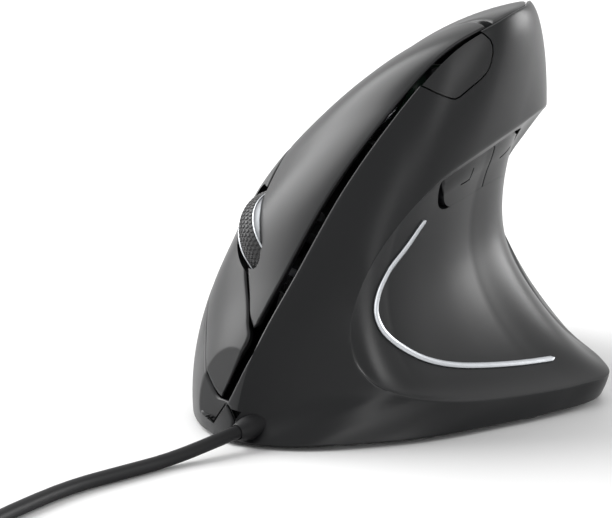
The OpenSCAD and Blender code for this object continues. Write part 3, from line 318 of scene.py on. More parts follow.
def finger_in(s, t):
    """Inner wall of the finger side."""
    a = along(FOOT_FINGER, s) - WALL * level(finger_out(s, like(s, 0.1)))
    b = seam_in(s)
    return rib3(a, a + along(RISE_FINGER, s), b + along(LEAN_FINGER, s), b, t[..., None])


def crease_in(u, j):
    """Inner edge of the walls along the crease."""
    hollow_out = scoop_out(np.clip(j, 0.06, 0.94), np.where(u < SCOOP_TIP, 0.04, 0.96))
    return around(CREASE, u) - WALL * mitre(band_out(u, like(u, 0.97)), hollow_out)


def rim_in(u):
    """Inner edge of the thumb half's rim."""
    on_seam = ((u > 0.4) & (u < NOSE - 0.4))[..., None]
    foot = rim(u) - WALL * level(band_out(u, like(u, 0.3)))
    return np.where(on_seam, seam_in(NOSE - np.minimum(u, NOSE)), foot)


def band_in(u, j, t):
    """Inner wall of the band."""
    return rib2(rim_in(u), around(SWELL, u) - WALL * band_out(u, like(u, 0.5)), crease_in(u, j), t[..., None])


def scoop_in(j, t):
    """Inner wall of the scoop."""
    return hollow(crease_in(lip_u(j), j), crease_in(flange_u(j), j), j, t)


def near_seam(s):
    """Height on the finger side at which the seam's gap starts."""
    return 1 - np.interp(s, *SEAM_GAP.T) / (3 * np.linalg.norm(along(LEAN_FINGER, s), axis=-1))


EDGE_STEPS = np.array((0, 0.12, 0.28, 0.5, 0.8))
EDGE_SHARE = 0.3
ROLL_WIDTH = 1.7


def spread(length, count):
    """Steps from 0 to 1 along rows of given lengths, closer together at both ends."""
    most = np.linspace(0, EDGE_SHARE, len(EDGE_STEPS))
    ends = np.minimum(EDGE_STEPS[None] / length[:, None], most[None])
    first, last = ends[:, -1:], 1 - ends[:, -1:]
    middle = first + (last - first) * np.linspace(0, 1, count + 1)[None, 1:-1]
    return np.hstack([ends, middle, 1 - ends[:, ::-1]])


def rolled(distance, depth):
    """How far a surface drops at a given distance from its edge, in millimetres."""
    return depth * np.clip(1 - distance / (ROLL_WIDTH * depth), 0, 1) ** 2


def panel(low, high, rows, columns):
    """Stations, heights and distances from the edge of a finger panel between two lines."""
    x = spread(np.array([PANEL_RUN]), rows)[0]
    a = along(low, x * (len(low) - 1))
    b = along(high, x * (len(high) - 1))
    length = np.linalg.norm(finger(a[:, 0], a[:, 1]) - finger(b[:, 0], b[:, 1]), axis=1)
    y = spread(length, columns)
    grid = a[:, None] + (b - a)[:, None] * y[..., None]
    run = np.minimum(x, 1 - x)[:, None] * PANEL_RUN
    edge = np.minimum(run, np.minimum(y, 1 - y) * length[:, None])
    return grid[..., 0], grid[..., 1], edge


def drafted(low, high):
    """The inner lines of a panel, drawn in so that it can turn past its neighbours."""
    low, high = np.array(low), np.array(high)
    by = np.minimum(EDGE_DRAFT, np.abs(high[:, 1] - low[:, 1]) / 3)
    front = np.where(np.arange(len(low)) == 0, TIP_DRAFT, 0)
    return low + np.stack([front, by], 1), high + np.stack([front, -by], 1)


def flattened(points):
    """Points of the nose pressed back to the flat beside the gap."""
    proud = np.maximum(0, (points - FLAT_AT) @ FLAT_OUT)
    return points - proud[..., None] * FLAT_OUT


# Modelling helpers

def linked(name, data):
    """A new object in the scene."""
    made = bpy.data.objects.new(name, data)
    bpy.context.scene.collection.objects.link(made)
    return made


def new_piece(name, points, faces):
    """A mesh object from points in millimetres."""
    mesh = bpy.data.meshes.new(name)
    mesh.from_pydata([tuple(p) for p in np.asarray(points) * MM], [], faces)
    mesh.update()
    return linked(name, mesh)


def only(piece):
    """Selects one object and makes it the active one."""
    if bpy.context.object and bpy.context.object.mode != "OBJECT":
        bpy.ops.object.mode_set(mode="OBJECT")
    bpy.ops.object.select_all(action="DESELECT")
    piece.select_set(True)
    bpy.context.view_layer.objects.active = piece
    return piece


def walled(name, outer, inner, keep=None, fold=None):
    """A closed wall between two grids of points; cells that aren't kept leave an opening."""
    rows, columns = outer.shape[:2]
    ids = np.arange(rows * columns).reshape(rows, columns)
    if fold is not None:
        ids[0], ids[-1] = ids[0][fold], ids[-1][fold]
    if keep is None:
        keep = np.ones((rows - 1, columns - 1), bool)
    kept = np.pad(keep, 1)
    if fold is not None:
        kept[0], kept[-1] = True, True
    back = rows * columns
    faces = []
    for i, j in np.argwhere(keep):
        ring = [int(ids[i, j]), int(ids[i, j + 1]), int(ids[i + 1, j + 1]), int(ids[i + 1, j])]
        faces.append(ring)
        faces.append([back + v for v in reversed(ring)])
        beside = [kept[i, j + 1], kept[i + 1, j + 2], kept[i + 2, j + 1], kept[i + 1, j]]
        for side in range(4):
            if not beside[side]:
                a, b = ring[side], ring[(side + 1) % 4]
                faces.append([b, a, back + a, back + b])
    faces = [list(dict.fromkeys(f)) for f in faces]
    faces = [f for f in faces if len(f) > 2]
    used = sorted({v for f in faces for v in f})
    place = {v: n for n, v in enumerate(used)}
    points = np.concatenate([outer.reshape(-1, 3), inner.reshape(-1, 3)])[used]
    return new_piece(name, points, [[place[v] for v in f] for f in faces])


def smooth(piece, angle=38):
    """Shades a piece smooth between edges sharper than an angle."""
    only(piece)
    bpy.ops.object.shade_smooth_by_angle(angle=math.radians(angle))
    return piece


def outward(piece):
    """Turns a piece's faces outwards."""
    only(piece)
    bpy.ops.object.mode_set(mode="EDIT")
    bpy.ops.mesh.select_all(action="SELECT")
    bpy.ops.mesh.normals_make_consistent(inside=False)
    bpy.ops.object.mode_set(mode="OBJECT")
    return piece


def cut(piece, cutter, operation="DIFFERENCE"):
    """Cuts a mesh by another one and removes the cutter."""
    only(piece)
    modifier = piece.modifiers.new("Cut", "BOOLEAN")
    modifier.object, modifier.operation, modifier.solver = cutter, operation, "EXACT"
    bpy.ops.object.modifier_apply(modifier=modifier.name)
    bpy.data.objects.remove(cutter)
    return piece


def flat_line(outline, way):
    """A closed line of points pressed flat across a direction, and that direction at length one."""
    outline, way = np.asarray(outline), unit(np.asarray(way, float))
    return outline - ((outline - outline.mean(0)) @ way)[:, None] * way, way


def prism(outline, way, front, back):
    """A prism over a closed line of points, from front to back along a direction."""
    flat, way = flat_line(outline, way)
    n = len(flat)
    faces = [list(range(n)), list(range(2 * n - 1, n - 1, -1))]
    faces += [[(i + 1) % n, i, n + i, n + (i + 1) % n] for i in range(n)]
    return outward(new_piece("cutter", np.vstack([flat + front * way, flat + back * way]), faces))


def inset(outline, way, gap):
    """A closed line of points drawn in by a gap, in the plane across a direction."""
    flat, way = flat_line(outline, way)
    before, after = unit(flat - np.roll(flat, 1, 0)), unit(np.roll(flat, -1, 0) - flat)
    sides = [np.cross(way, e) for e in (before, after)]
    area = np.cross(flat, np.roll(flat, -1, 0)).sum(0) @ way
    return flat + math.copysign(gap, area) * mitre(*sides)


def posed(piece, place, way):
    """Sets a piece that was made upright at the origin to its place, in its mesh."""
    piece.matrix_world = (Matrix.Translation(Vector(place) * MM)
                          @ Vector(way).to_track_quat("Z", "Y").to_matrix().to_4x4())
    only(piece)
    bpy.ops.object.transform_apply(location=True, rotation=True, scale=True)
    return piece


def turned(name, profile, sides, place, way):
    """A turned piece: a circle drawn out along radius and height pairs that end where they start."""
    radius, height = profile[0]
    bpy.ops.object.select_all(action="DESELECT")
    bpy.ops.mesh.primitive_circle_add(vertices=sides, radius=radius * MM, location=(0, 0, 0))
    piece = bpy.context.object
    piece.name = name
    bpy.ops.object.mode_set(mode="EDIT")
    bpy.ops.mesh.select_all(action="SELECT")
    bpy.ops.transform.translate(value=(0, 0, height * MM))
    for next_radius, next_height in profile[1:]:
        bpy.ops.mesh.extrude_edges_move(TRANSFORM_OT_translate={"value": (0, 0, (next_height - height) * MM)})
        grow = next_radius / radius
        bpy.ops.transform.resize(value=(grow, grow, 1), center_override=(0, 0, next_height * MM))
        radius, height = next_radius, next_height
    bpy.ops.mesh.select_all(action="SELECT")
    bpy.ops.mesh.remove_doubles(threshold=1e-6)
    bpy.ops.mesh.normals_make_consistent(inside=False)
    bpy.ops.object.mode_set(mode="OBJECT")
    return posed(piece, place, way)


def coat(piece, slot):
    """Gives a piece the finish of a slot."""
    piece.data.materials.clear()
    piece.data.materials.append(finish_of(slot))


def seat(piece, body, slot, *nodes):
    """Gives a finished piece its body, slot, finish and the nodes that it stands for."""
    coat(piece, slot)
    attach(piece, body)
    if nodes:
        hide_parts(*nodes)
    return piece


# Finishes

def feed(tree, socket, value):
    """Links another node's output to a socket, or sets the socket."""
    if isinstance(value, bpy.types.NodeSocket):
        tree.links.new(value, socket)
    else:
        socket.default_value = value


def add_node(tree, kind, settings=None, sockets=None):
    """A node with its settings, then the values or links of its sockets."""
    made = tree.nodes.new(kind)
    for key, value in (settings or {}).items():
        setattr(made, key, value)
    for key, value in (sockets or {}).items():
        feed(tree, made.inputs[key], value)
    return made


class Finish:
    """A material with one principled shader."""

    def __init__(self, name, **sockets):
        self.material = bpy.data.materials.new(name)
        self.material.use_nodes = True
        self.tree = self.material.node_tree
        self.shader = self.tree.nodes["Principled BSDF"]
        self.set(**sockets)

    def node(self, kind, settings=None, sockets=None):
        """A node of the material."""
        return add_node(self.tree, kind, settings, sockets)

    def set(self, **sockets):
        """Sets the shader's sockets, with spaces written as underscores."""
        for key, value in sockets.items():
            feed(self.tree, self.shader.inputs[key.replace("_", " ")], value)

    def noise(self, scale, detail=2.0, rough=0.5):
        """Noise over the object's own coordinates, from 0 to 1."""
        place = self.node("ShaderNodeTexCoord").outputs["Object"]
        return self.node("ShaderNodeTexNoise", {}, {
            "Vector": place, "Scale": scale, "Detail": detail, "Roughness": rough}).outputs["Fac"]

    def scaled(self, value, by, plus):
        """A value times a number, plus a number or another value."""
        made = self.node("ShaderNodeMath", {"operation": "MULTIPLY_ADD"}, {0: value, 1: by, 2: plus})
        return made.outputs[0]

    def shades(self, dark, light, factor):
        """A colour between two by a factor."""
        return self.node("ShaderNodeMix", {"data_type": "RGBA"}, {
            "Factor": factor, 6: (*dark, 1), 7: (*light, 1)}).outputs[2]

    def bump(self, height, strength, distance):
        """Feeds a height to the shader's normal."""
        made = self.node("ShaderNodeBump", {}, {"Height": height, "Strength": strength, "Distance": distance})
        self.set(Normal=made.outputs[0])


GRAIN = 5200
GRAIN_DEPTH = 0.00002
STREAKS = 900
STREAK_DEPTH = 0.00001


def moulded(name, dark, light, rough, **sockets):
    """Moulded plastic: fine spark-eroded grain, faint colour drift and rubbed patches."""
    finish = Finish(name, **sockets)
    finish.set(Base_Color=finish.shades(dark, light, finish.noise(38, 3)))
    patches = finish.noise(90, 4, 0.6)
    fine = finish.noise(GRAIN, 1)
    finish.set(Roughness=finish.scaled(patches, 0.08, finish.scaled(fine, 0.05, rough - 0.065)))
    finish.bump(fine, 0.25, GRAIN_DEPTH)
    return finish.material


def metal(name, dark, light, rough):
    """Plated or ground metal with fine streaks."""
    finish = Finish(name, Metallic=1.0)
    streak = finish.noise(STREAKS, 3)
    finish.set(Base_Color=finish.shades(dark, light, streak),
               Roughness=finish.scaled(streak, 0.12, rough - 0.06))
    finish.bump(streak, 0.08, STREAK_DEPTH)
    return finish.material


class MouseColours(bpy.types.PropertyGroup):
    """Colours that a user would change."""

    # Darker than the panels: the same satin plastic, darkened as painted shade of the front face.
    shell: bpy.props.FloatVectorProperty(
        name="Shell", description="Plastic of both shell halves", subtype="COLOR",
        default=(0.0045, 0.0048, 0.0055))
    # Lighter than the shell: the same satin plastic, lightened as painted sheen on the finger side.
    panel: bpy.props.FloatVectorProperty(
        name="Panels", description="Plastic of the click panels", subtype="COLOR",
        default=(0.012, 0.0122, 0.0128))
    silver: bpy.props.FloatVectorProperty(
        name="Silver", description="Strip in the scoop and rims of the wheel", subtype="COLOR",
        default=(0.46, 0.475, 0.495))
    jacket: bpy.props.FloatVectorProperty(
        name="Cable", description="Jacket of the cable", subtype="COLOR",
        default=(0.008, 0.008, 0.0088))


class MouseSizes(bpy.types.PropertyGroup):
    """Sizes that a user would change."""

    edge: bpy.props.FloatProperty(
        name="Edge", description="Rounding of the shells' edges, in millimetres",
        default=0.3, min=0.1, max=0.5)
    strip_width: bpy.props.FloatProperty(
        name="Strip width", description="Width of the bright strip, in millimetres",
        default=1.05, min=0.8, max=2)
    cable_width: bpy.props.FloatProperty(
        name="Cable", description="Diameter of the cable, in millimetres", default=2.4, min=2, max=3)


def sizes():
    """The scene's sizes."""
    return bpy.context.scene.mouse_sizes


def lighter(colour, by):
    """A colour made lighter or darker by a factor."""
    return tuple(min(1.0, c * by) for c in colour)


def chosen(name, key, drift, rough, shine):
    """Plastic in one of the scene's colours, darker and lighter by a drift."""
    colour = getattr(bpy.context.scene.mouse_colours, key)
    dark, light = lighter(colour, 1 - drift), lighter(colour, 1 + drift)
    return moulded(name, dark, light, rough, Specular_IOR_Level=shine)


def trim(name, rough):
    """Metal in the scene's silver."""
    silver = bpy.context.scene.mouse_colours.silver
    return metal(name, lighter(silver, 0.94), silver, rough)


def clear(name, dark, light, rough):
    """Clear plastic."""
    return moulded(name, dark, light, rough, Transmission_Weight=0.8)


SLOTS = {
    # Shell, keys and panels share one satin plastic: the shell's and keys' darker copy holds painted shade, the
    # panels' lighter copy holds painted sheen.
    "shell_plastic": (chosen, "shell satin plastic", "shell", 0.08, 0.36, 0.25),
    "button_plastic": (chosen, "panel satin plastic", "panel", 0.08, 0.36, 0.25),
    "key_plastic": (chosen, "key plastic", "shell", 0.08, 0.36, 0.25),
    "cable_jacket": (chosen, "cable jacket", "jacket", 0.1, 0.5, 0.2),
    "silver_trim": (trim, "satin silver", 0.42),
    "base_plastic": (moulded, "base plastic", (0.008, 0.008, 0.009), (0.011, 0.011, 0.012), 0.55),
    "pad_plastic": (moulded, "glide pad", (0.03, 0.03, 0.032), (0.04, 0.04, 0.042), 0.35),
    "tyre_rubber": (moulded, "tyre rubber", (0.012, 0.012, 0.013), (0.018, 0.018, 0.019), 0.5),
    "inner_plastic": (moulded, "inner plastic", (0.012, 0.012, 0.013), (0.016, 0.016, 0.017), 0.5),
    "steel": (metal, "ground steel", (0.5, 0.51, 0.53), (0.62, 0.63, 0.65), 0.3),
    "board": (moulded, "solder mask", (0.006, 0.03, 0.015), (0.009, 0.04, 0.02), 0.35),
    "switch_plastic": (moulded, "switch plastic", (0.014, 0.014, 0.015), (0.02, 0.02, 0.02), 0.45),
    "plunger_plastic": (moulded, "plunger plastic", (0.5, 0.08, 0.06), (0.56, 0.1, 0.08), 0.4),
    "lens": (clear, "lens", (0.8, 0.86, 0.88), (0.84, 0.9, 0.92), 0.12),
    "lamp": (moulded, "red lamp", (0.5, 0.03, 0.02), (0.6, 0.04, 0.03), 0.15),
    "socket_plastic": (moulded, "socket plastic", (0.72, 0.68, 0.6), (0.78, 0.74, 0.66), 0.45),
    "plug_steel": (metal, "plug shell", (0.58, 0.59, 0.6), (0.66, 0.67, 0.68), 0.28),
    "tongue_plastic": (moulded, "tongue plastic", (0.78, 0.78, 0.76), (0.84, 0.84, 0.82), 0.4),
    "contact_metal": (metal, "contact plating", (0.62, 0.45, 0.18), (0.74, 0.56, 0.26), 0.25),
}
FINISHES = {}


def finish_of(slot):
    """The finish of a slot, made once."""
    if slot not in FINISHES:
        maker, *given = SLOTS[slot]
        FINISHES[slot] = maker(*given)
    return FINISHES[slot]


# Operators

class MakerOperator:
    """What the operators share."""

    bl_options = {"REGISTER", "UNDO"}

    def execute(self, context):
        """Makes the pieces."""
        self.make()
        return {"FINISHED"}


VIEW_AZIMUTH = 22
VIEW_ELEVATION = 12
VIEW_DISTANCE = 0.52
VIEW_TARGET = (-0.00582, -0.04647, 0.032)
VIEW_LENS = 179


def view_back():
    """Direction from the object to the camera."""
    a, e = math.radians(VIEW_AZIMUTH), math.radians(VIEW_ELEVATION)
    return Vector((math.sin(a) * math.cos(e), -math.cos(a) * math.cos(e), math.sin(e)))


def view_axes():
    """The camera's place in millimetres, and its directions to the right, up and back."""
    back = np.array(view_back())
    right = unit(np.cross((0, 0, 1), back))
    return np.array(VIEW_TARGET) / MM + back * VIEW_DISTANCE / MM, right, np.cross(back, right), back


def in_view(points):
    """Places across the view at the nose's distance, in millimetres."""
    eye, right, up, back = view_axes()
    rays = points - eye
    scale = -NOSE_DEPTH / (rays @ back)
    return rays @ right * scale, rays @ up * scale


def from_view(places):
    """Points at the nose's distance for places across the view."""
    eye, right, up, back = view_axes()
    return eye + places[:, :1] * right + places[:, 1:] * up - NOSE_DEPTH * back


class MOUSE_OT_camera(MakerOperator, bpy.types.Operator):
    """Sets the camera at the photograph's angle"""

    bl_idname = "mouse.camera"
    bl_label = "Camera"

    def make(self):
        """Adds the camera."""
        camera = linked("camera", bpy.data.cameras.new("camera"))
        camera.data.lens = VIEW_LENS
        camera.data.sensor_width = 36
        camera.data.clip_start, camera.data.clip_end = 0.01, 20
        camera.location = Vector(VIEW_TARGET) + view_back() * VIEW_DISTANCE
        camera.rotation_euler = view_back().to_track_quat("Z", "Y").to_euler()
        bpy.context.scene.camera = camera


def coil_route(width):
    """Middle lines of the free cable, of the coil and of its tail, in millimetres."""
    pitch = width + COIL_GAP
    low = TIE_WALL + COIL_LIFT + width / 2
    wide = COIL_RADIUS + pitch * COIL_LOOPS / 2
    thin = COIL_RADIUS - pitch * COIL_LOOPS / 2
    layer, climb = COIL_LOOPS * COIL_PER_LOOP, COIL_PER_LOOP // 2
    middle = np.array((EXIT[0] - LEAD_SIDE + wide, EXIT[1] - COIL_AHEAD, 0))

    def at(i, radius, z):
        """A point of the coil after i steps."""
        a = math.pi + 2 * math.pi * i / COIL_PER_LOOP
        return middle + (radius * math.cos(a), radius * math.sin(a), z)

    coil = []
    for n in range(COIL_LAYERS):
        first, inwards = n * (layer + climb), n % 2 == 0
        start, slope, turn = (wide, -pitch, thin) if inwards else (thin, pitch, wide)
        coil += [at(first + i, start + slope * i / COIL_PER_LOOP, low + pitch * n) for i in range(layer + 1)]
        if n < COIL_LAYERS - 1:
            for i in range(1, climb):
                aside = math.copysign(pitch, slope) * min(i, climb - i) / COIL_PER_LOOP
                rise = (1 - math.cos(math.pi * i / climb)) / 2
                coil.append(at(first + layer + i, turn + aside, low + pitch * (n + rise)))
    drop = sum(corner.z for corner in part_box("plug_grip")) / 2 / MM - coil[-1][2]
    tail = []
    for i in range(1, TAIL_POINTS + 1):
        turn = min(math.pi, math.radians(TAIL_TURN * i))
        tail.append(coil[-1] + (0, TAIL_STEP * i, drop * (1 - math.cos(turn)) / 2))
    end = at(0, wide, low) + (0, width, 0)
    lead = [EXIT - distance * unit(EXIT_WAY) for distance in LEAD_STRAIGHT]
    lead += [np.array((EXIT[0] + x, EXIT[1] + y, z)) for x, y, z in LEAD_LIFTED]
    lead += [np.array((EXIT[0] + x, EXIT[1] + y, width / 2 + LEAD_LIFT)) for x, y in LEAD_LYING]
    lead += [end + (0, 8, 0), end + (0, 4, 0), end]
    return along(lead, np.linspace(0, len(lead) - 1, LEAD_POINTS)), np.array(coil), np.array(tail)


class MOUSE_OT_cable(MakerOperator, bpy.types.Operator):
    """Lays the cable from the strain relief to its tied coil and plug"""

    bl_idname = "mouse.cable"
    bl_label = "Cable"

    def make(self):
        width = sizes().cable_width
        route = np.vstack(coil_route(width)) * MM
        curve = bpy.data.curves.new("cable", "CURVE")
        curve.dimensions = "3D"
        curve.bevel_depth = width / 2 * MM
        curve.bevel_resolution = 5
        curve.use_fill_caps = True
        spline = curve.splines.new("POLY")
        spline.points.add(len(route) - 1)
        for point, place in zip(spline.points, route):
            point.co = (*place, 1)
        spline.use_smooth = True
        cable = linked("cable", curve)
        seat(cable, "case", "cable_jacket", "cable_lead", "cable_coil")
        self.relief(width / 2)

    def relief(self, cable):
        """The grommet and tapered relief at the cable's exit."""
        profile = [(cable + more, height) for more, height in RELIEF]
        return seat(smooth(turned("strain_relief_boot", profile, 48, EXIT, EXIT_WAY), 35),
                    "case", "cable_jacket", "strain_relief")


def merged(fixed, others):
    """Sorted stations without near doubles; the fixed ones are kept exactly."""
    return np.array(sorted(fixed + [v for v in others if min(abs(v - k) for k in fixed) > 0.003]))


BAND_T = np.concatenate([[0, 0.006, 0.014, 0.026], np.linspace(0.06, 0.94, 17), [0.97, 0.985, 1]])
SCOOP_T = np.concatenate([[0, 0.012, 0.03], np.linspace(0.05, 0.95, 61), [0.97, 0.988, 1]])


def speed_line():
    """Outline of the speed button's notch on the band, and the direction out of its middle."""
    line = np.array(SPEED_LINE)
    return band(line[:, 0], line[:, 1]), band_out(*np.array(SPEED_MIDDLE))


def window_line():
    """The rounded outline of the thumb keys' window: front top, front low, rear low and rear top."""
    angle = np.radians(np.linspace(0, 90, 8))
    turns = (1 - np.sin(angle), 1 - np.cos(angle))
    points = []
    for n, size in enumerate(WINDOW_ROUND):
        at_j, way_j = (WINDOW_J[0], 1) if n < 2 else (WINDOW_J[1], -1)
        at_t, way_t = (WINDOW_T[0], 1) if n in (0, 3) else (WINDOW_T[1], -1)
        x, y = turns[::-1] if n % 2 else turns
        points += [(at_j + way_j * ROUND_J * size * a, at_t + way_t * size * b) for a, b in zip(x, y)]
    return np.array(points)


def slanted(j, t):
    """Stations in the scoop with the keys' front line leaning back at its foot."""
    return j + WINDOW_SLANT * (t - WINDOW_T[0]) * (WINDOW_J[1] - j) / (WINDOW_J[1] - WINDOW_J[0])


def dense(line, step):
    """A closed line of points with more points on its long stretches."""
    points = []
    for a, b in zip(line, np.roll(line, -1, 0)):
        count = max(1, math.ceil(np.abs(b - a).max() / step))
        points += [a + (b - a) * i / count for i in range(count)]
    return np.array(points)


def nose_notch():
    """A cutter for the dark notch at the nose."""
    return prism(from_view(NOSE_NOTCH), view_back(), 6, -8)


class MOUSE_OT_thumb_half(MakerOperator, bpy.types.Operator):
    """Models the thumb half with its scoop, notch and key window"""

    bl_idname = "mouse.thumb_half"
    bl_label = "Thumb half"

    def make(self):
        """Lofts both walls, softens the crease and cuts the openings."""
        rows = merged([0, 1, (NOSE - SCOOP_TIP) / (LOOP - SCOOP_TIP)], np.linspace(0, 1, 171))
        j_band, lip_t = np.meshgrid(rows, BAND_T, indexing="ij")
        foot_t = lip_t[:, ::-1]
        j_hollow, t_hollow = np.meshgrid(rows, SCOOP_T, indexing="ij")
        outer = np.concatenate([self.eased(lip_u(j_band), lip_t), scoop(j_hollow, t_hollow)[:, 1:],
                                self.eased(flange_u(j_band), foot_t)[:, 1:]], 1)
        inner = np.concatenate([band_in(lip_u(j_band), j_band, lip_t), scoop_in(j_hollow, t_hollow)[:, 1:],
                                band_in(flange_u(j_band), j_band, foot_t)[:, 1:]], 1)
        columns, lip, last = outer.shape[1], len(BAND_T) - 1, len(BAND_T) + len(SCOOP_T) - 2
        fold = [c if c <= lip else columns - 1 - c if c >= last else lip for c in range(columns)]
        shell = walled("thumb_half", outer, inner, None, fold)
        self.soften(shell)
        outline, way = speed_line()
        cut(shell, prism(outline, way, 5, -5))
        window = dense(window_line(), 0.006)
        window[:, 0] = slanted(window[:, 0], window[:, 1])
        cut(shell, prism(scoop(window[:, 0], window[:, 1]), scoop_out(*np.array(WINDOW_MIDDLE)), 9, -9))
        cut(shell, nose_notch())
        seat(smooth(shell), "case", "shell_plastic", "thumb_shell")
        self.nose_lip()

    def nose_lip(self):
        """The part of the thumb half that reaches round the nose to the gap."""
        s = np.interp(np.linspace(0, 1, 81), np.linspace(0, 1, len(LIP_LINE)), LIP_LINE[:, 0])
        start = np.interp(s, *LIP_LINE.T)
        x = np.concatenate([[0, 0.04, 0.1, 0.2], np.linspace(0.3, 1, 9)])
        t = start[:, None] + (1 - start)[:, None] * x[None]
        s = np.repeat(s[:, None], len(x), 1)
        edge = (t - start[:, None]) * 3 * np.linalg.norm(along(LEAN_FINGER, s), axis=-1)
        outer = finger(s, t) - rolled(edge, sizes().edge)[..., None] * finger_out(s, np.minimum(t, 0.99))
        lip = outward(walled("nose_lip", outer, finger_in(s, t)))
        cut(lip, nose_notch())
        seat(smooth(lip), "case", "shell_plastic", "thumb_shell")

    def eased(self, u, t):
        """The band with its free edge rolled in."""
        width = np.linalg.norm(around(CREASE, u) - rim(u), axis=-1)
        free = (u < NOSE - LIP_LINE[-1, 0]) | (u > NOSE - LIP_LINE[0, 0])
        drop = np.where(free, rolled(t * width, sizes().edge), 0)
        return band(u, t) - drop[..., None] * band_out(u, np.maximum(t, 0.01))

    def soften(self, shell):
        """Smooths the outer wall near the crease."""
        line = around(CREASE, np.linspace(0, LOOP, 900, endpoint=False)) * MM
        places = np.array([v.co for v in shell.data.vertices])
        near = np.array([np.linalg.norm(line - p, axis=1).min() < 0.8 * MM for p in places])
        only(shell)
        shell.data.vertices.foreach_set("select", near)
        shell.data.edges.foreach_set("select", np.zeros(len(shell.data.edges), bool))
        shell.data.polygons.foreach_set("select", np.zeros(len(shell.data.polygons), bool))
        bpy.ops.object.mode_set(mode="EDIT")
        bpy.context.tool_settings.mesh_select_mode = (True, False, False)
        bpy.ops.mesh.vertices_smooth(factor=0.5, repeat=3)
        bpy.ops.object.mode_set(mode="OBJECT")


WHEEL_MIDDLE = (3.35, 0.54)


def wheel_frame():
    """The wheel's centre and directions: forward, along the axle and out."""
    spin = next(j for j in frame["joints"] if j["name"] == "wheel_spin")
    centre = np.array(spin["pos_m"]) / MM
    axle = np.array(spin["axis"])
    out = finger_out(*np.array(WHEEL_MIDDLE))
    return centre, np.cross(axle, out), axle, out


WHEEL_RADIUS = 10.5
TYRE_WIDTH = 4.6
BARREL = 0.8
SLOT_RADIUS = 11.4
SLOT_HALF = 4.8
SLOT_SHIFT = 0.35


def slot_cutter(room):
    """A lens-shaped cutter that leaves room for the wheel, and more where a panel moves far."""
    centre, _, axle, _ = wheel_frame()
    bpy.ops.object.select_all(action="DESELECT")
    bpy.ops.mesh.primitive_uv_sphere_add(segments=128, ring_count=64, radius=(SLOT_RADIUS + room) * MM)
    cutter = bpy.context.object
    cutter.scale = (1, 1, (SLOT_HALF + room) / (SLOT_RADIUS + room))
    bpy.ops.object.transform_apply(location=False, rotation=False, scale=True)
    return posed(cutter, centre - SLOT_SHIFT * axle, axle)


class MOUSE_OT_finger_panels(MakerOperator, bpy.types.Operator):
    """Models both click panels with the wheel's slot between them"""

    bl_idname = "mouse.finger_panels"
    bl_label = "Click panels"

    ROWS = 140
    COLUMNS = 34

    def make(self):
        """Lofts each panel with rolled edges and cuts the slot."""
        left_high = [(s, float(near_seam(np.array(s)))) for s in LEFT_STATIONS]
        for name, body, low, high, room, flat in (
                ("upper_click_panel", "left_button", LEFT_LOW, left_high, 0, False),
                ("lower_click_panel", "right_button", RIGHT_LOW, RIGHT_HIGH, 0.7, True)):
            s, t, edge = panel(low, high, self.ROWS, self.COLUMNS)
            outer = finger(s, t)
            if flat:
                outer = flattened(outer)
            outer = outer - rolled(edge, sizes().edge)[..., None] * finger_out(s, t)
            s, t, _ = panel(*drafted(low, high), self.ROWS, self.COLUMNS)
            piece = cut(walled(name, outer, finger_in(s, t)), slot_cutter(room))
            seat(smooth(piece), body, "button_plastic", body)


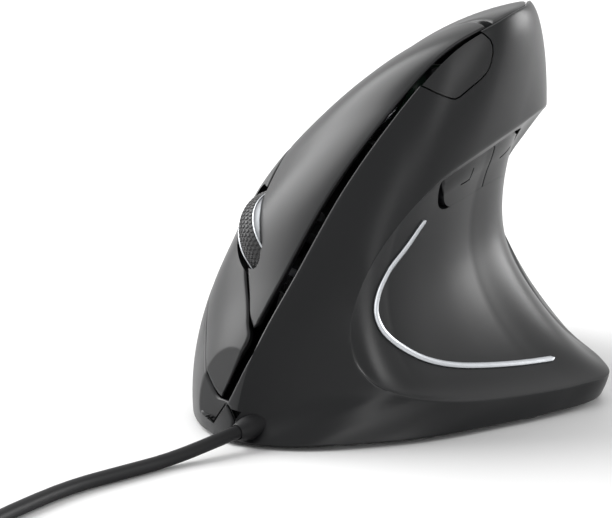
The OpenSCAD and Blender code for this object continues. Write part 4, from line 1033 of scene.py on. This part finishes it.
class MOUSE_OT_palm(MakerOperator, bpy.types.Operator):
    """Models the palm cover"""

    bl_idname = "mouse.palm"
    bl_label = "Palm cover"

    FRONT_ROWS = 110
    LOW_COLUMNS = 26
    HIGH_COLUMNS = 34
    HIGH_LENGTH = 40
    REAR_LENGTH = 35
    FAR = 9
    DRAFT = 0.03
    BELOW_FOOT = 0.02

    def make(self):
        """Lofts the low strip under the panels and the cover behind them."""
        low = along(PALM_HIGH, np.linspace(0, len(PALM_HIGH) - 1, self.FRONT_ROWS + 1))
        back = np.concatenate([[0.004, 0.01, 0.02], np.linspace(0.04, 1, 48)])
        rear = PALM_HIGH[-1][0] + (HEEL - PALM_HIGH[-1][0]) * back
        low = np.vstack([low, np.stack([rear, np.full_like(rear, PALM_T)], 1)])
        x = np.concatenate([np.linspace(0, 0.93, self.LOW_COLUMNS), [0.955, 0.975, 0.99, 1]])
        s_low = np.repeat(low[:, :1], len(x), 1)
        t_low = low[:, 1:] * x[None]
        y = np.concatenate([np.linspace(0, 0.95, self.HIGH_COLUMNS)[1:], [0.97, 0.985, 0.994, 1]])
        lean = PALM_T + (PALM_FRONT[-1, 0] - PALM_T) * y
        front = np.interp(lean, *PALM_FRONT.T)
        behind = np.concatenate([np.zeros(self.FRONT_ROWS + 1), back])[:, None]
        s_high = front[None] + (HEEL - front[None]) * behind
        t_high = PALM_T + (near_seam(s_high) - PALM_T) * y[None]
        s, t = np.hstack([s_low, s_high]), np.hstack([t_low, t_high])
        keep = np.ones((s.shape[0] - 1, s.shape[1] - 1), bool)
        keep[:self.FRONT_ROWS, len(x) - 1:] = False
        foot = finger(low[:, 0], 0 * low[:, 1])
        height = np.linalg.norm(finger(low[:, 0], low[:, 1]) - foot, axis=1)[:, None]
        under = np.where(behind == 0, (1 - x)[None] * height, self.FAR)
        over = np.minimum((1 - y)[None] * self.HIGH_LENGTH, behind * self.REAR_LENGTH)
        edge = np.hstack([under, np.where(behind > 0, over, 0)])
        outer = finger(s, t)
        across, up = in_view(outer)
        on_flat = up > np.interp(across, *ZIGZAG.T)
        outer = np.where(on_flat[..., None], flattened(outer), outer)
        outer = outer - rolled(edge, sizes().edge)[..., None] * finger_out(s, t)
        away = np.where(behind == 0, self.DRAFT, 0) * x[None] ** 4
        inner = finger_in(s, np.hstack([t_low - away, t_high]))
        outer, inner = self.footed(outer), self.footed(inner)
        palm = walled("palm_side", outer, inner, np.vstack([keep[:1], keep, keep[-1:]]))
        cut(palm, self.joint())
        seat(smooth(palm), "case", "shell_plastic", "palm_cover")

    def footed(self, points):
        """A grid of points with a row more at both ends, where it's closed down to its foot."""
        ends = [points[n:n + 1] * (1, 1, 0) + (0, 0, FOOT - self.BELOW_FOOT) for n in (0, len(points) - 1)]
        return np.vstack([ends[0], points, ends[1]])

    def joint(self):
        """A thin cutter along the zigzag joint of the nose's corner."""
        way = unit(np.gradient(ZIGZAG, axis=0))
        side = np.stack([-way[:, 1], way[:, 0]], 1) * np.array(ZIGZAG_HALF)[:, None]
        return prism(from_view(np.vstack([ZIGZAG + side, (ZIGZAG - side)[::-1]])), view_back(), 8, -4)


class MOUSE_OT_keys(MakerOperator, bpy.types.Operator):
    """Models the speed button and the two thumb keys"""

    bl_idname = "mouse.keys"
    bl_label = "Speed button and thumb keys"

    SPEED_GAP = 0.28
    SPEED_U = (8.75, 7.15)
    SPEED_T = (0.03, 0.53)
    KEY_T = (0.206, 0.3112)
    KEY_RISE = 0.056
    KEY_DEEP = 2.0
    FLANGE_GAP = 0.012
    FLANGE_FRONT = 0.008
    KEY_LONG = 14.0
    KEY_WIDE = 7.0
    TOP_DROP = 0.7
    REAR_SHARE = 0.8
    KEY_EDGE = 0.1
    FRONT_ROUND = (0.016, 0.05)
    SPEED_SHARE = 0.7
    MARK_HALF = 0.15
    KEYS = (("forward_thumb_key", "forward_key", (0.383, 0.515),
             (0.448, 0.244), (0.467, 0.244), (0.469, 0.207)),
            ("back_thumb_key", "back_key", (0.516, 0.656), (0.546, 0.234), (0.58, 0.207)))

    def make(self):
        """Makes each key over the surface it sits in."""
        self.speed()
        for name, body, j, *mark in self.KEYS:
            self.key(name, body, j, np.array(mark))

    def speed(self):
        """The speed button: a patch of the band inside a smaller outline."""
        u, t = np.meshgrid(np.linspace(*self.SPEED_U, 61), np.linspace(*self.SPEED_T, 33), indexing="ij")
        outer, inner = band(u, t), band_in(u, 1 - u / SCOOP_TIP, t)
        cap = walled("speed_cap", outer, outer + self.SPEED_SHARE * (inner - outer))
        outline, way = speed_line()
        cut(outward(cap), prism(inset(outline, way, self.SPEED_GAP), way, 6, -6), "INTERSECT")
        seat(smooth(cap), "speed_button", "button_plastic", "speed_button")

    def key(self, name, body, ends, mark):
        """A thumb key with a rolled upper edge, a round front and an engraved mark."""
        y = spread(np.array([self.KEY_WIDE]), 24)[0]
        t = self.KEY_T[0] + (self.KEY_T[1] - self.KEY_T[0]) * y
        front = like(t, ends[0])
        if body == "forward_key":
            for distance, size in zip((t - t[0], t[-1] - t), self.FRONT_ROUND):
                front += ROUND_J * size * (1 - np.sqrt(1 - np.clip(1 - distance / size, 0, 1) ** 2))
        x = spread(np.array([self.KEY_LONG]), 36)[0][:, None]
        j = front[None] + (ends[1] - front)[None] * x
        back = (j - WINDOW_J[0]) / (WINDOW_J[1] - WINDOW_J[0])
        low = (self.KEY_T[1] - t[None]) / (self.KEY_T[1] - self.KEY_T[0])
        t = t[None] - self.KEY_RISE * back * low
        if body == "forward_key":
            j = j + (slanted(j, t) - j) * (ends[1] - j) / (ends[1] - ends[0])
        top = np.clip(1 - (1 - low) * 2.5, 0, 1)
        edge = np.minimum(x, 1 - x) * self.KEY_LONG
        drop = self.TOP_DROP * top ** 2 * (1 - self.REAR_SHARE * back) + rolled(edge, self.KEY_EDGE) - 0.02
        out = scoop_out(j, t)
        top_t = self.KEY_T[0] - self.KEY_RISE * back
        flange_t = t - (top_t - WINDOW_T[0] - self.FLANGE_GAP) * low
        flange_j = j - (self.FLANGE_FRONT * (1 - x) ** 4 if body == "forward_key" else 0)
        flange = scoop(flange_j, flange_t) - self.KEY_DEEP * scoop_out(flange_j, flange_t)
        key = walled(name, scoop(j, t) - drop[..., None] * out, flange)
        for a, b in zip(mark[:-1], mark[1:]):
            cut(key, self.slit(a, b))
        seat(smooth(key), body, "key_plastic", body)

    def slit(self, a, b):
        """A thin cutter along a stretch of a mark."""
        ends = scoop(np.array((a[0], b[0])), np.array((a[1], b[1])))
        middle = (a + b) / 2
        out = scoop_out(middle[0], middle[1])
        way = self.MARK_HALF * unit(ends[1] - ends[0])
        side = np.cross(out, way)
        start, end = ends[0] - way, ends[1] + way
        return prism([start - side, end - side, end + side, start + side], out, 1.2, -0.35)


class MOUSE_OT_strip(MakerOperator, bpy.types.Operator):
    """Models the bright strip in the scoop"""

    bl_idname = "mouse.strip"
    bl_label = "Bright strip"

    PROUD = 0.25
    DOME = 0.2
    SUNK = -0.1

    def make(self):
        """Sweeps a domed section along the strip's line."""
        line = along(STRIP, np.linspace(0, len(STRIP) - 1, 161))
        mid = scoop(line[:, 0], line[:, 1])
        out = scoop_out(line[:, 0], line[:, 1])
        side = unit(np.cross(out, np.gradient(mid, axis=0)))
        run = np.concatenate([[0], np.cumsum(np.linalg.norm(np.diff(mid, axis=0), axis=1))])
        half = sizes().strip_width / 2
        ends = np.minimum(run, run[-1] - run)
        wide = half * np.sqrt(np.clip(1 - (1 - np.minimum(ends / half, 1)) ** 2, 0.04, 1))
        across = np.linspace(-1, 1, 9)
        dome = self.PROUD + self.DOME * (1 - across ** 2)
        flat = mid[:, None] + side[:, None] * (wide[:, None] * across)[..., None]
        top, low = flat + out[:, None] * dome[None, :, None], flat + out[:, None] * self.SUNK
        seat(smooth(walled("bright_strip", top, low), 40), "case", "silver_trim", "accent_strip")


class MOUSE_OT_wheel(MakerOperator, bpy.types.Operator):
    """Models the wheel's ribbed tyre and bright rims"""

    bl_idname = "mouse.wheel"
    bl_label = "Wheel"

    RIBS = 72
    PER_RIB = 6
    ROWS = 6
    DEEP = 0.2
    TYRE_WALL = 1.8
    RIB_ENDS = (0.02, 0.07)

    # Section of a rim: how far each corner lies inside the wheel's radius and outside the tyre's side
    RIM = ((2.6, 0), (0.95, 0), (0.88, 0.12), (0.92, 0.28), (1.02, 0.36), (1.12, 0.34), (1.22, 0.2),
           (1.9, 0.22), (2.02, 0.3), (2.18, 0.4), (2.4, 0.42), (2.55, 0.36), (2.6, 0.25), (2.6, 0))

    def make(self):
        """Shapes a ring for the tyre and turns two rims."""
        centre, forward, axle, out = wheel_frame()
        seat(self.tyre(centre, forward, axle, out), "wheel", "tyre_rubber", "wheel_tyre")
        profile = [(WHEEL_RADIUS - inside, TYRE_WIDTH / 2 + outside) for inside, outside in self.RIM]
        for side, name in ((1, "upper_rim"), (-1, "lower_rim")):
            ring = turned(name, profile, 128, centre, axle * side)
            seat(smooth(ring, 35), "wheel", "silver_trim", "wheel_rims")

    def tyre(self, centre, forward, axle, out):
        """A barrel-shaped ring with staggered rows of short ribs."""
        steps = self.RIBS * self.PER_RIB
        row_width = 2 / self.ROWS
        across, row = [], []
        for n in range(self.ROWS):
            start = -1 + n * row_width
            low, high = self.RIB_ENDS
            across += [start + low, start + high, start + row_width - high, start + row_width - low]
            row += [-1, n, n, -1]
        across, row = np.array([-1] + across + [1]), np.array([-1] + row + [-1])
        shifted = np.arange(steps)[:, None] + (row % 2)[None] * self.PER_RIB // 2
        phase = (shifted % self.PER_RIB) / self.PER_RIB
        raised = (phase > 0.1) & (phase < 0.6) & (row >= 0)[None]
        angle = np.arange(steps) * 2 * math.pi / steps
        ways = np.cos(angle)[:, None] * forward + np.sin(angle)[:, None] * out
        radius = WHEEL_RADIUS - BARREL * across[None] ** 2 - np.where(raised, 0, self.DEEP)
        along_axle = (axle * TYRE_WIDTH / 2)[None, None] * across[None, :, None]
        top = centre + ways[:, None] * radius[..., None] + along_axle
        bore = (ways * (WHEEL_RADIUS - self.TYRE_WALL))[:, None]
        low = centre + np.repeat(bore, len(across), 1) + along_axle
        points = np.concatenate([top, low[:, ::-1]], 1)
        ids = np.arange(steps * 2 * len(across)).reshape(steps, -1)
        beside, ahead = np.roll(ids, -1, 1), np.roll(ids, -1, 0)
        faces = np.stack([ids, beside, np.roll(beside, -1, 0), ahead], -1).reshape(-1, 4).tolist()
        return smooth(outward(new_piece("ribbed_tyre", points.reshape(-1, 3), faces)), 30)


class MOUSE_OT_inner_parts(MakerOperator, bpy.types.Operator):
    """Gives every carried-over node its finish"""

    bl_idname = "mouse.inner_parts"
    bl_label = "Finish of inner parts"

    def make(self):
        """Assigns each node the finish of its slot."""
        for part in frame["record"]["subparts"]:
            coat(frame["nodes"][part["node"]], part["material_slot"])


class MOUSE_OT_stage(MakerOperator, bpy.types.Operator):
    """Adds a pale floor and soft studio light"""

    bl_idname = "mouse.stage"
    bl_label = "Stage"

    LAMPS = (
        ("finger side soft box", (-1.03, 0, 0.72), (0, 0, 0.04), 1.3, 28.0),
        ("overhead soft box", (0.1, 0.3, 1.1), (0, 0, 0.03), 0.9, 3.0),
        ("thumb side soft box", (0.82, 0.88, 0.26), (0.01, 0, 0.03), 0.7, 11.0),
        ("front fill", (0.91, -0.76, 0.22), (0.01, 0, 0.05), 0.5, 2.8),
    )
    FLOOR_SIZE = 2.4
    WORLD_LIGHT = 0.5
    WORLD_SEEN = 1.0

    def make(self):
        """Adds the floor, the world and the lamps."""
        scene = bpy.context.scene
        scene.view_settings.view_transform = "Standard"
        bpy.ops.object.select_all(action="DESELECT")
        bpy.ops.mesh.primitive_plane_add(size=self.FLOOR_SIZE, location=(0, 0, 0))
        floor = bpy.context.object
        floor.name = "floor"
        floor.data.materials.append(self.floor_finish())
        for name, place, aim, size, power in self.LAMPS:
            lamp = bpy.data.lights.new(name, "AREA")
            lamp.shape = "DISK"
            lamp.size = size
            lamp.energy = power
            holder = linked(name, lamp)
            holder.location = place
            holder.rotation_euler = (Vector(place) - Vector(aim)).to_track_quat("Z", "Y").to_euler()
        self.world(scene)

    def floor_finish(self):
        """Near-white matt floor."""
        finish = Finish("floor", Roughness=0.5, Specular_IOR_Level=0.3)
        finish.set(Base_Color=finish.shades((0.76, 0.76, 0.76), (0.78, 0.78, 0.78), finish.noise(3)))
        return finish.material

    def world(self, scene):
        """White to the camera and in reflections, softer as light."""
        world = bpy.data.worlds.new("studio")
        scene.world = world
        world.use_nodes = True
        tree = world.node_tree
        path = add_node(tree, "ShaderNodeLightPath").outputs
        seen = path["Is Camera Ray"]
        for name in ("Is Glossy Ray", "Is Transmission Ray"):
            either = add_node(tree, "ShaderNodeMath", {"operation": "MAXIMUM"}, {0: seen, 1: path[name]})
            seen = either.outputs[0]
        strength = add_node(tree, "ShaderNodeMapRange", {}, {
            "Value": seen, "To Min": self.WORLD_LIGHT, "To Max": self.WORLD_SEEN}).outputs["Result"]
        shine = tree.nodes["Background"].inputs
        feed(tree, shine["Color"], (1, 1, 1, 1))
        feed(tree, shine["Strength"], strength)


class MOUSE_PT_sidebar(bpy.types.Panel):
    """Lists the steps in the sidebar"""

    bl_idname = "MOUSE_PT_sidebar"
    bl_label = "Upright mouse"
    bl_space_type = "VIEW_3D"
    bl_region_type = "UI"
    bl_category = "Mouse"

    def draw(self, context):
        """Draws the colours, the sizes and one button per step."""
        for group in (context.scene.mouse_colours, context.scene.mouse_sizes):
            for key in group.__annotations__:
                self.layout.prop(group, key)
        for step in STEPS:
            self.layout.operator(step.bl_idname)


STEPS = (MOUSE_OT_camera, MOUSE_OT_inner_parts, MOUSE_OT_cable, MOUSE_OT_thumb_half, MOUSE_OT_finger_panels,
         MOUSE_OT_palm, MOUSE_OT_keys, MOUSE_OT_strip, MOUSE_OT_wheel, MOUSE_OT_stage)
CLASSES = (MouseColours, MouseSizes, *STEPS, MOUSE_PT_sidebar)


def register():
    """Registers the classes and their groups."""
    for cls in CLASSES:
        bpy.utils.register_class(cls)
    bpy.types.Scene.mouse_colours = bpy.props.PointerProperty(type=MouseColours)
    bpy.types.Scene.mouse_sizes = bpy.props.PointerProperty(type=MouseSizes)


def unregister():
    """Removes the groups and the classes."""
    del bpy.types.Scene.mouse_sizes
    del bpy.types.Scene.mouse_colours
    for cls in reversed(CLASSES):
        bpy.utils.unregister_class(cls)


def main():
    """Makes every piece in order."""
    register()
    for step in STEPS:
        group, name = step.bl_idname.split(".")
        getattr(getattr(bpy.ops, group), name)()


if __name__ == "__main__":
    main()
